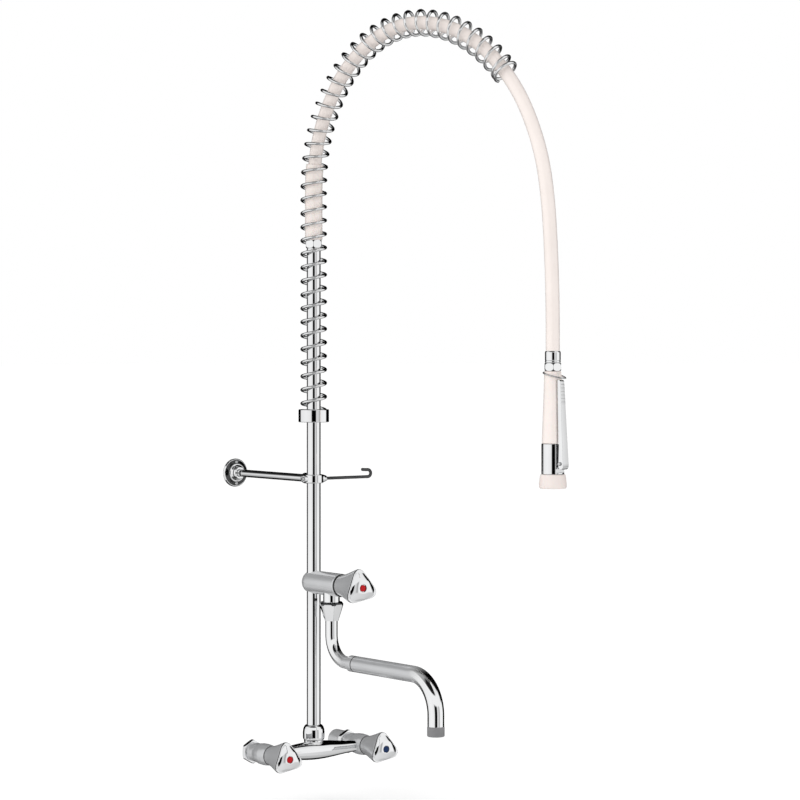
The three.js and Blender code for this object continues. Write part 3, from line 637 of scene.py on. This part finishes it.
def nut_profile(across, low, high, bore, chamfer):
    """Turned outline that blunts a hexagon's corners, closed round its bore."""
    corner, face = across / math.sqrt(3), across / 2
    blunt = []
    for k in range(7):
        t = k / 6
        blunt.append((face - 0.35 + (corner + 0.25 - face) * math.sin(math.pi / 2 * t) ** 0.9,
                      chamfer * (1 - math.cos(math.pi / 2 * t)) ** 0.8))
    return [(bore, low)] + [(r, low + rise) for r, rise in blunt] + [
        (r, high - rise) for r, rise in reversed(blunt)] + [(bore, high), (bore, low)]


for side_name, x in (("hot", -INLET_HALF), ("cold", INLET_HALF)):
    hex_nut(side_name + "_inlet_nut", 27, nut_profile(27, -33.2, -26.7, 10.3, 1.5), UNIT, CHROME, "root",
            math.pi / 2, "F", place_at=(x, 0, 0))
piece("cold_inlet_coupling", moved(turned([
    (7, -58.5), (12.4, -58.5), (13, -57.7), (13, -53), (12.6, -52.6), (12.6, -52), (13, -51.6), (13, -34.3),
    (12.4, -33.5), (7, -33.5), (7, -58.5),
], 0.3, 96, "F"), x=INLET_HALF), UNIT, "satin_steel", "root", patches=(("cast_chrome", lambda at: True),))


# ---------------------------------------------------------------- knobs
KNOB_DEPTH = 42.0
KNOB_SEAM = 35.5
KNOB_EDGE = 1.6
KNOB_NECK = 12.2
KNOB_FLAT = 14.8
KNOB_BLUNTNESS = 2.4
KNOB_CROWN = 17.5
KNOB_TURN = math.radians(-10)
KNOB_SIDES = 120
SEAM_WIDTH = 0.9


def knob_rim(angle):
    """Distance from the axis to the rim: a triangle with rounded corners, the first at angle 0."""
    total = sum(max(math.cos(angle - side), 0) ** KNOB_BLUNTNESS
                for side in (math.pi / 3, math.pi, 5 * math.pi / 3))
    return KNOB_FLAT * total ** (-1 / KNOB_BLUNTNESS)


RIM = [knob_rim(math.tau * j / KNOB_SIDES) for j in range(KNOB_SIDES)]


def knob_ring(depth, round_radius, share=0.0, scale=1.0, inset=0.0):
    """Ring between a circle (share 0) and the rim's shape (share 1)."""
    verts = []
    for j, rim in enumerate(RIM):
        place = math.tau * j / KNOB_SIDES + KNOB_TURN
        radius = scale * (round_radius * (1 - share) + rim * share) - inset
        verts.append(Vector((radius * math.sin(place), -depth, radius * math.cos(place))))
    return verts


def knob_shape(size):
    """Three-cornered bell, a seam, a domed cap with a recess for the dot, and a spindle bore."""
    skirt = spline([(0, 0, 0), (0.3, 0.24, 0), (0.6, 0.55, 0), (0.85, 0.84, 0), (1, 1, 0)], 8)
    rings = [knob_ring(23, 4.2), knob_ring(9, 4.2), knob_ring(9, 10.2), knob_ring(0.3, 10.2),
             knob_ring(0, 10.5), knob_ring(0, 11.9)]
    for point in skirt[:-1]:
        rings.append(knob_ring(max(point.x * KNOB_SEAM, 0.3), KNOB_NECK, point.y))
    rings += [knob_ring(KNOB_SEAM - 0.25, 0, 1, 1, 0.02), knob_ring(KNOB_SEAM - 0.05, 0, 1, 1, 0.2),
              knob_ring(KNOB_SEAM, 0, 1, 1, 0.8), knob_ring(KNOB_SEAM + SEAM_WIDTH, 0, 1, 1, 0.8),
              knob_ring(KNOB_SEAM + SEAM_WIDTH + 0.05, 0, 1, 1, 0.25),
              knob_ring(KNOB_SEAM + SEAM_WIDTH + 0.3, 0, 1, 1, 0.02)]
    base = KNOB_SEAM + KNOB_EDGE
    edge = 0.93

    def dome(s):
        return base + (KNOB_DEPTH - base) * (1 - s ** 3)

    for k in range(1, 9):
        t = k / 8
        depth = (1 - t) ** 2 * (base + 0.1) + 2 * t * (1 - t) * (base + 1.4) + t * t * dome(edge)
        scale = (1 - t) ** 2 + 2 * t * (1 - t) * 1.0 + t * t * edge
        rings.append(knob_ring(depth, KNOB_CROWN, scale ** 2, scale))
    recess = 4.7 / KNOB_CROWN
    for k in range(1, 21):
        s = edge + (recess + 0.012 - edge) * k / 20
        rings.append(knob_ring(dome(s), KNOB_CROWN, s * s * (s - recess) / (1 - recess), s))
    rings += [knob_ring(dome(recess) - 0.12, 4.72), knob_ring(dome(recess) - 0.4, 4.65), knob_ring(39.2, 4.65)]
    verts, faces = stitched(rings)
    return [v * size for v in verts], faces


def valve(prefix, at, front, size, dot):
    back = Vector((at[0], at[1] - front - 0.6, at[2]))
    at_x, at_z = at[0], at[2]
    verts, faces = knob_shape(size)
    seam = -KNOB_SEAM * size + back.y

    # the seam groove's faces take the near-black seal_rubber look as painted shade in the groove between skirt and
    # cap
    def in_seam(place):
        from_axis = math.hypot(place.x - at_x, place.z - at_z)
        return seam - (SEAM_WIDTH + 0.1) * size < place.y < seam + 0.04 and from_axis > 12

    piece(prefix + "_knob", moved((verts, faces), *back), UNIT, CHROME, prefix + "_handle", sharp=50,
          patches=(("cast_chrome", lambda place: place.y > seam), ("seal_rubber", in_seam)))
    top = KNOB_DEPTH * size
    shape = turned([(0, top - 2.6), (4.2, top - 2.6), (4.2, top - 0.7), (3.4, top - 0.15), (0, top)],
                   0.5, 64, "F")
    piece(prefix + "_dot", moved(shape, *back), UNIT, dot, prefix + "_handle", sharp=60)


valve("hot", (-INLET_HALF, 0, 0), VALVE_FRONT, 1, "red_dot")
valve("cold", (INLET_HALF, 0, 0), VALVE_FRONT, 1, "blue_dot")
valve("tap", (0, 0, TAP_HEIGHT), TAP_FRONT, 1.1, "red_dot")

# ---------------------------------------------------------------- riser
piece("riser_nut", turned([
    (11.2, 12.9), (13.4, 12.9), (14.1, 15), (14.2, 22), (13.7, 26.5), (12.4, 30), (10.6, 31.9), (9.3, 31.9),
    (9.3, 24.2), (11.2, 24.2), (11.2, 12.9),
], 1.0, 96), UNIT, CHROME, "root")
piece("lower_riser", ring(7.5, TUBE, 13.9, TAP_HEIGHT - 11), UNIT, CHROME, "root")
piece("upper_riser", ring(7.5, TUBE, TAP_HEIGHT + 11, RISER_TOP), UNIT, CHROME, "root")
hex_nut("riser_top_nut", 20, nut_profile(20, RISER_TOP + 0.3, HOSE_START - 0.3, 5, 3.6), UNIT, CHROME, "root",
        math.radians(54), joins=(ring(5, 7.2, RISER_TOP - 10, RISER_TOP + 1.5),))

# ---------------------------------------------------------------- upper tap and spout
socket = TUBE + 0.3
tap_shell = moved(turned([
    (0, -14), (4, -13.9), (7, -13.4), (11, -11.2), (13.6, -7.6), (14.8, -3), (TAP_RADIUS, 2),
    (TAP_RADIUS, TAP_FRONT - 2.4), (14.2, TAP_FRONT), (8, TAP_FRONT), (8, 36), (0, 36),
], 1.2, 96, "F"), z=TAP_HEIGHT)
neck = moved(turned([(0, 198.6), (9, 198.6), (9, 187), (10.8, 187), (10.8, 207), (0, 207)], 0.2, 96),
             y=-SPOUT_FORWARD)
piece("tap_body", tap_shell, UNIT, CHROME, "root", joins=(neck,),
      cuts=(together(rod(socket, 195, TAP_HEIGHT - 10.7), rod(socket, TAP_HEIGHT + 10.7, 240)),), bevel=0.3,
      patches=(
          ("cast_chrome", lambda at: at.z > TAP_HEIGHT - TAP_RADIUS + 1),
          # the front face, where the tap knob meets it, takes the dark seal_rubber look: a dark ring at the joint
          ("seal_rubber", lambda at: at.y < 0.9 - TAP_FRONT),
      ))

nut_base, nut_top = 170.2, 194.7
RIM_START, RIM_RADIUS = 188.8, 14.2


# the spout nut's upper rim band is painted dark all round: a painted dark reflection
def on_nut_rim(at):
    return at.z > RIM_START and math.hypot(at.x, at.y + SPOUT_FORWARD) > RIM_RADIUS


hexagon_levels = [(9.6, nut_base - 0.5), (9.6, nut_base), (17, 191.5), (17, nut_top + 0.5)]
nut_turn = math.radians(67)
hexagon_rings = [hexagon(r, nut_turn, z) for r, z in hexagon_levels]
nut_blank = moved(stitched(hexagon_rings), y=-SPOUT_FORWARD)
piece("spout_nut", nut_blank, UNIT, CHROME, "root", inside=(moved(turned([
    (8.4, nut_base), (9.2, nut_base), (15.4, 190.5), (15.4, 192.3), (13.6, nut_top), (11.15, nut_top),
    (11.15, 186.7), (8.4, 186.7), (8.4, nut_base),
], 0.3, 96), y=-SPOUT_FORWARD),), bevel=0.22, sharp=32,
      patches=(("painted_dark_reflection", on_nut_rim),))

inner_line = bent_line([(0, -SPOUT_FORWARD, 198), (0, -SPOUT_FORWARD, SPOUT_HEIGHT),
                        (0, -205, SPOUT_HEIGHT)], 33)
piece("spout_inner_tube", swept(inner_line, 8, ROUND, bore=6.6), UNIT, CHROME, "spout",
      patches=(("spout_chrome", lambda at: True),))
outer_line = bent_line([(0, -SLEEVE_START - 0.5, SPOUT_HEIGHT), (0, -SPOUT_REACH, SPOUT_HEIGHT),
                        (0, -SPOUT_REACH, 60.3)], 46)


SLEEVE_GROOVE = (SLEEVE_START + 11, SLEEVE_START + 12.8)


def in_groove(at):
    """The dark line round the sleeve, past its mouth: a groove filled with painted shade, standing for a shaded
    sleeve mouth.
    """
    from_axis = math.hypot(at.x, at.z - SPOUT_HEIGHT)
    return SLEEVE_GROOVE[0] - 0.05 < -at.y < SLEEVE_GROOVE[1] + 0.05 and 9.5 < from_axis < 10.25


piece("spout_outer_tube", swept(outer_line, 10.3, ROUND, bore=8.4, lip=0.45), UNIT, CHROME, "spout_sleeve",
      cuts=(moved(rod(9.4, SLEEVE_START - 2, SLEEVE_START + 6, "F"), z=SPOUT_HEIGHT),
            moved(ring(9.8, 12, *SLEEVE_GROOVE, 0, "F"), z=SPOUT_HEIGHT)),
      patches=(("spout_chrome", lambda at: True), ("seal_rubber", in_groove)))
piece("spout_outlet_ring", moved(turned([
    (8.5, 48), (10, 48), (10.75, 48.8), (10.75, 59.2), (10.3, 60), (8.5, 60), (8.5, 48),
], 0.3, 96), y=-SPOUT_REACH), UNIT, "grey_plastic", "spout_sleeve")
aerator_holes = [rod(1.1, 49, 57, sides=20)]
for j in range(6):
    aerator_holes.append(moved(rod(1.1, 49, 57, sides=20), 4.6 * math.cos(math.tau * j / 6),
                               4.6 * math.sin(math.tau * j / 6)))
piece("spout_aerator", moved(rod(8.1, 50, 56, ease=0.4), y=-SPOUT_REACH), UNIT, "grey_plastic", "spout_sleeve",
      cuts=(moved(together(*aerator_holes), y=-SPOUT_REACH),))

# ---------------------------------------------------------------- wall bracket and hook
wall = -RISER_TO_WALL
flange = turned([
    (0, wall), (19, wall), (19, wall + 1.8), (17.8, wall + 3.4), (16.9, wall + 3.1), (14, wall + 4.6),
    (13.1, wall + 5.6), (11.6, wall + 5.7), (10.4, wall + 6.2), (9, wall + 8.5), (8.4, wall + 12.6),
    (7.6, wall + 13.6), (5.3, wall + 13.6), (5.3, wall + 5), (0, wall + 5),
], 0.7, 96, "F")
FLANGE_SCREWS = (("top", 14.3), ("bottom", -14.3))
FLANGE_RING = (12, 17.4)


def on_flange_ring(at):
    """The flange's front between its boss and its rim, painted dark as a painted reflection."""
    return at.y < RISER_TO_WALL - 1 and FLANGE_RING[0] < math.hypot(at.x, at.z) < FLANGE_RING[1]


piece("wall_flange", flange, BRACKET, CHROME, "root", cuts=(together(*(
    moved(rod(2.7, wall - 1, wall + 6, "F", 32), z=height) for _name, height in FLANGE_SCREWS)),),
      patches=(("painted_dark_reflection", on_flange_ring),))
for screw_name, height in FLANGE_SCREWS:
    cross = [(-1.4, -0.3), (-0.3, -0.3), (-0.3, -1.4), (0.3, -1.4), (0.3, -0.3), (1.4, -0.3),
             (1.4, 0.3), (0.3, 0.3), (0.3, 1.4), (-0.3, 1.4), (-0.3, 0.3), (-1.4, 0.3)]
    piece("flange_screw_" + screw_name, turned([
        (0, wall + 0.5), (2.4, wall + 0.5), (2.4, wall + 4.6), (1.6, wall + 5.4), (0, wall + 5.6),
    ], 0.4, 48, "F"), BRACKET @ Matrix.Translation((0, 0, height)), "satin_steel", "root",
          cuts=(prism(cross, RISER_TO_WALL - 7, RISER_TO_WALL - 4.8),))
piece("bracket_rod", rod(5, wall + 5.3, -14.8, "F", ease=0.3), BRACKET, CHROME, "root")
piece("riser_clamp", turned([
    (0, -5.5), (12, -5.5), (12.6, -4.7), (12.6, 4.7), (12, 5.5), (0, 5.5),
], 0.5, 96), BRACKET, CHROME, "root", joins=(
    turned([(0, -21), (6.6, -21), (7, -20), (7, -8), (0, -8)], 0.5, 64, "F"),
    turned([(0, 8), (5.2, 8), (5.2, 14), (3.6, 19), (0, 19)], 0.6, 64, "X"),
    turned([(0, -16.5), (4.2, -16.5), (4.6, -15.5), (4.6, -8), (0, -8)], 0.5, 64, "X"),
), cuts=(
    rod(socket, -8, 8), rod(5.3, -22, -14.5, "F"), rod(2.3, 14.7, 20, "X", 32), rod(2.3, -17, -8, "X", 32),
),
      bevel=0.3)
hex_socket = [Vector((-19, 1.5 * math.cos(math.tau * j / 6), 1.5 * math.sin(math.tau * j / 6)))
              for j in range(6)]
piece("clamp_screw", turned([
    (0, -18.6), (2.6, -18.6), (3.1, -18), (3.1, -16.8), (2, -16.8), (2, -9.6), (0, -9.6),
], 0.3, 48, "X"), BRACKET, "satin_steel", "root",
      cuts=(stitched([hex_socket, [v + Vector((1.8, 0, 0)) for v in hex_socket]]),))
hook_line = [Vector((15 + 71 * k / 10, 0, 0)) for k in range(11)]
for k in range(1, 25):
    angle = math.pi * k / 24
    hook_line.append(Vector((86 + 4.6 * math.sin(angle), 0, 4.6 * (1 - math.cos(angle)))))
hook_line += [Vector((82, 0, 9.35)), Vector((77, 0, 9.7))]
# the whole hook is painted near-black chrome: a painted dark reflection
piece("gun_hook", swept(hook_line, 2, 32, domed=0.5), BRACKET, CHROME, "root",
      patches=(("painted_dark_reflection", lambda at: True),))

# ---------------------------------------------------------------- spring collar
piece("spring_collar", turned([
    (9.3, 424.5), (19.2, 424.5), (19.8, 425.1), (19.8, 440.4), (19.2, 441), (18.2, 441), (18.2, 431),
    (9.3, 431), (9.3, 424.5),
], 0.4, 96), UNIT, CHROME, "root", cuts=(moved(rod(2.3, -21, -8, "F", 32), z=427.8),))
SCREW_AT = Matrix.Translation((0, 0, 427.8))
slot_cut = prism([(-0.4, -3), (0.4, -3), (0.4, 3), (-0.4, 3)], 18.2, 19.4)
piece("collar_screw", rod(2, -19, -9.6, "F", 48, 0.3), UNIT @ SCREW_AT, "satin_steel", "root", cuts=(slot_cut,))

# ---------------------------------------------------------------- spray gun
piece("hose_ferrule", turned([
    (5, 504.3), (9.3, 504.3), (9.6, 504.8), (9.6, 506.4), (9.3, 506.7), (9.3, 507.1), (9.6, 507.4),
    (9.6, 517.1), (8.9, 518.5), (5, 518.5), (5, 504.3),
], 0.35, 96), GUN, CHROME, "hose_end")
hex_nut("gun_nut", 19.6, nut_profile(19.6, 494.3, 504, 5, 3.4), GUN, CHROME, "gun", math.radians(8))


def flat_cut(low, high, out_low, out_high):
    return prism([(out_low, low), (30, low), (30, high), (out_high, high)], -20, 20)


piece("gun_handle", turned([
    (5, 406.3), (13, 406.3), (13.3, 407.3), (12.9, 420), (11.4, 460), (10.4, 492.8), (9.8, 494), (5, 494),
    (5, 406.3),
], 0.5, 96), GUN, "cream_plastic", "gun", cuts=(flat_cut(400, 500, 10.65, 7.9),), bevel=0.7)
lug_line = [(PIVOT_OUT + 3.1 * math.cos(a), PIVOT_HEIGHT + 3.1 * math.sin(a))
            for a in (-math.pi / 2 + math.pi * k / 16 for k in range(17))]
lug = prism([(PIVOT_OUT - 8, PIVOT_HEIGHT - 3.1)] + lug_line + [(PIVOT_OUT - 8, PIVOT_HEIGHT + 3.1)], -4.2, 4.2)
STEM_HEIGHT = 394
piece("valve_housing", turned([
    (6, 356), (12.5, 356), (12.5, 369.2), (13.9, 369.2), (13.9, 406), (6, 406), (6, 356),
], 0.4, 96), GUN, CHROME, "gun", cuts=(flat_cut(371, 410, 10.6, 10.6),), bevel=0.35)
piece("bumper", turned([
    (12.8, 351.6), (15.4, 351.6), (16.7, 353.2), (16.9, 357.5), (15.6, 367.8), (14.8, 368.9), (12.8, 368.9),
    (12.8, 351.6),
], 0.6, 96), GUN, "cream_rubber", "gun")
jets = [rod(0.9, 352, 357, sides=20)]
for j in range(8):
    jets.append(moved(rod(0.9, 352, 357, sides=20), 8 * math.cos(math.tau * j / 8),
                      8 * math.sin(math.tau * j / 8)))
piece("spray_plate", rod(12.3, 352.8, 355.7, ease=0.4), GUN, "grey_plastic", "gun", cuts=(together(*jets),))
PIVOT = GUN @ Matrix.Translation((PIVOT_OUT, 0, PIVOT_HEIGHT))
piece("lever_pin", turned([
    (0, -8), (1.6, -8), (2.3, -7.5), (2.3, -6.8), (1.5, -6.8), (1.5, 6.8), (2.3, 6.8), (2.3, 7.5), (1.6, 8),
    (0, 8),
], 0.3, 48, "F"), PIVOT, "satin_steel", "gun")

# ---------------------------------------------------------------- lever, stem and lock ring
LEVER_TOP, LEVER_BASE, SHEET = 483.6, 375.2, 1.2
web = [(19.2, 382)]
for k in range(1, 120):
    t = k / 120
    grip = 0.28 * (0.5 - 0.5 * math.cos(math.tau * (t * 99.5 / 4.2))) if 0.72 < t < 0.97 else 0.0
    web.append((19.2 - 5.3 * t + grip, 382 + 100 * t))
outside = [(14, LEVER_BASE + 0.2), (16.8, LEVER_BASE), (18.4, 376.4), (19.1, 378.6)] + web + [
    (13.9, LEVER_TOP - 1.6), (12.6, LEVER_TOP), (9.4, LEVER_TOP), (9.2, 478), (11.3, 406), (11.9, 390),
    (11.4, 382), (12, 377.6),
]
inside = [
    (5, LEVER_BASE - 4), (14.4, LEVER_BASE - 4), (17.2, 376.6), (17.9, 379), (18, 382),
    (12.8, LEVER_TOP - 2.2), (12.2, LEVER_TOP - SHEET), (5, LEVER_TOP - SHEET),
]


def tapered(half_low, half_high):
    """Block along X whose width narrows from the lever's foot to its tip."""
    low, high = LEVER_BASE - 5, LEVER_TOP + 5
    return prism([(-half_low, low), (half_low, low), (half_high, high), (-half_high, high)], -1, 40, "X")


hollow = make_object("hollow", prism(inside, -15, 15), GUN)
boolean(hollow, tapered(6.3 - SHEET, 4.1 - SHEET), GUN, "INTERSECT")
hollow_shape = ([GUN.inverted() @ v.co for v in hollow.data.vertices],
                [tuple(p.vertices) for p in hollow.data.polygons])
bpy.data.objects.remove(hollow)
pin_hole = moved(rod(1.8, -12, 12, "F", 40), PIVOT_OUT, 0, PIVOT_HEIGHT)
piece("lever", prism(outside, -15, 15), GUN, CHROME, "lever_arm", inside=(tapered(6.3, 4.1),),
      cuts=(hollow_shape, pin_hole), bevel=0.3, sharp=35)
STEM = GUN @ Matrix.Translation((0, 0, STEM_HEIGHT))
piece("valve_stem", turned([
    (0, -3.5), (3.4, -3.5), (3.4, -1.5), (2.2, -1.5), (2.2, 15.2), (3.5, 15.2), (3.5, 16.8), (0, 16.8),
], 0.25, 48, "X"), STEM, "satin_steel", "stem")
spring_line = [Vector((11.3 + 3.4 * k / 96, 3 * math.cos(math.tau * k / 24), 3 * math.sin(math.tau * k / 24)))
               for k in range(97)]
valve_spring = piece("valve_spring", swept(spring_line, 0.4, 8), STEM, "satin_steel", "gun", ride=False)
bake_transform(valve_spring)

ring_outline = [
    (-11.5, 0), (-8.2, 8.1), (0, 11.6), (7.2, 10.2), (13.2, 6.8), (16.4, 3.3), (17.2, 0),
    (16.4, -3.3), (13.2, -6.8), (7.2, -10.2), (0, -11.6), (-8.2, -8.1),
]
RING_HEIGHT, RING_SLOPE = 492.6, 0.244
ring_points = [(out, across, RING_HEIGHT - RING_SLOPE * (out + 11.5)) for out, across in ring_outline]
ring_line = spline(ring_points, 10, looped=True)
piece("lock_ring", swept(ring_line, 0.9, 16, looped=True), GUN, "satin_steel", "ring")

# ---------------------------------------------------------------- CAD nodes that stay
SLOT_OF = {entry["node"]: entry["material_slot"] for entry in frame["record"]["subparts"]}
for name, node in frame["nodes"].items():
    for material_slot in node.material_slots:
        material_slot.material = MATERIALS[SLOT_OF[name]]

# ---------------------------------------------------------------- floor, world and light
FLOOR_HEIGHT = -0.43
floor_mesh = bpy.data.meshes.new("floor")
floor_mesh.from_pydata([(-40, -40, FLOOR_HEIGHT), (40, -40, FLOOR_HEIGHT), (40, 40, FLOOR_HEIGHT),
                        (-40, 40, FLOOR_HEIGHT)], [], [(0, 1, 2, 3)])
floor = bpy.data.objects.new("floor", floor_mesh)
bpy.context.collection.objects.link(floor)
floor.visible_glossy = False
plain = Nodes("floor_paper")
plain.link(plain.blend_colour(plain.ramp(plain.noise(3, 2), 0, 1), (0.96, 0.96, 0.96), (0.98, 0.98, 0.98)),
           "Base Color")
plain.fix(Roughness=1.0)
plain.shader.inputs["Specular IOR Level"].default_value = 0.0
floor_mesh.materials.append(plain.material)

world = bpy.data.worlds.new("studio")
bpy.context.scene.world = world
world.use_nodes = True
sky = world.node_tree
sky.nodes.clear()


def sky_node(kind, inputs=None, **settings):
    node = sky.nodes.new(kind)
    for key, value in settings.items():
        setattr(node, key, value)
    for key, value in (inputs or {}).items():
        if isinstance(value, bpy.types.NodeSocket):
            sky.links.new(value, node.inputs[key])
        else:
            node.inputs[key].default_value = value
    return node


def sky_math(operation, first, second=0.0, third=0.0):
    return sky_node("ShaderNodeMath", {0: first, 1: second, 2: third}, operation=operation).outputs[0]


def sky_dot(direction):
    return sky_node("ShaderNodeVectorMath", {0: look, 1: direction}, operation="DOT_PRODUCT").outputs["Value"]


def sky_band(stops):
    """Brightness round the horizon; the angle counts from the camera, positive to its right."""
    band = sky_node("ShaderNodeValToRGB", {"Fac": around}).color_ramp
    for k, (angle, value) in enumerate(stops):
        place = angle / 360 + 0.5
        stop = band.elements[k] if k < 2 else band.elements.new(place)
        stop.position = place
        stop.color = (value, value, value, 1)
    return sky.nodes[-1].outputs["Color"]


look = sky_node("ShaderNodeTexCoord").outputs["Generated"]
away, aside, upward = sky_dot(tuple(forward_dir)), sky_dot(tuple(right_dir)), sky_dot((0, 0, 1))
turn_angle = sky_math("ARCTAN2", aside, sky_math("MULTIPLY", away, -1.0))
around = sky_math("ADD", sky_math("DIVIDE", turn_angle, math.tau), 0.5)
level = sky_band([
    (-180, 0), (-116, 0), (-111, 0.85), (-104, 0.9), (-60, 0.98), (-30, 0.92), (-16, 0.8), (-12, 0), (18, 0),
    (22, 0.75), (38, 0.7), (50, 0.35), (58, 0.95), (106, 1.0), (112, 0), (180, 0),
])
raised = sky_band([
    (-180, 0), (-118, 0.02), (-108, 0.85), (-60, 0.95), (60, 0.95), (94, 0.9), (102, 0), (180, 0),
])
high = sky_band([
    (-180, 0), (-118, 0.02), (-100, 0.4), (-70, 0.4), (-50, 0.01), (28, 0.01), (38, 0.85), (84, 0.85), (92, 0),
    (180, 0),
])
top = sky_band([(-180, 0.02), (-90, 0.3), (90, 0.02), (180, 0.02)])
bottom = sky_band([
    (-180, 0), (-132, 0.02), (-118, 0.6), (-60, 0.8), (40, 0.8), (130, 0.6), (150, 0.02), (180, 0),
])
deep = sky_band([
    (-180, 0.02), (-100, 0.15), (-50, 0.02), (30, 0.1), (60, 0.55), (130, 0.55), (150, 0.02), (180, 0.02),
])


def sky_step(start, end):
    step = sky_node("ShaderNodeMapRange", {"Value": upward, "From Min": start, "From Max": end})
    return step.outputs["Result"]


def sky_mix(factor, low_colour, high_colour):
    mix = sky_node("ShaderNodeMix", {"Factor": factor}, data_type="RGBA")
    for socket, value in ((mix.inputs[6], low_colour), (mix.inputs[7], high_colour)):
        if isinstance(value, bpy.types.NodeSocket):
            sky.links.new(value, socket)
        else:
            socket.default_value = value
    return mix.outputs[2]


mirrored = sky_mix(sky_step(0.22, 0.29), level, raised)
mirrored = sky_mix(sky_step(0.62, 0.68), mirrored, high)
mirrored = sky_mix(sky_step(0.95, 0.97), mirrored, top)
mirrored = sky_mix(sky_step(-0.22, -0.3), mirrored, bottom)
mirrored = sky_mix(sky_step(-0.70, -0.78), mirrored, deep)
soft = sky_math("ADD", 1.0, sky_math("MULTIPLY_ADD", upward, 0.1, sky_math("MULTIPLY", aside, -0.2)))
rays = sky_node("ShaderNodeLightPath")
seen = sky_mix(rays.outputs["Is Glossy Ray"], soft, mirrored)
seen = sky_mix(rays.outputs["Is Camera Ray"], seen, (1, 1, 1, 1))
background = sky_node("ShaderNodeBackground", {"Color": seen, "Strength": 1.0})
sky_node("ShaderNodeOutputWorld", {"Surface": background.outputs["Background"]})

lamp_data = bpy.data.lights.new("soft_light", "AREA")
lamp_data.shape = "DISK"
lamp_data.size = 1.6
lamp_data.energy = 9
lamp = bpy.data.objects.new("soft_light", lamp_data)
lamp.location = (-2.2, -1.6, 1.6)
lamp.rotation_euler = (Vector((0, 0, 0)) - lamp.location).to_track_quat("-Z", "Y").to_euler()
lamp.visible_glossy = False
bpy.context.collection.objects.link(lamp)
bpy.context.scene.view_settings.view_transform = "Standard"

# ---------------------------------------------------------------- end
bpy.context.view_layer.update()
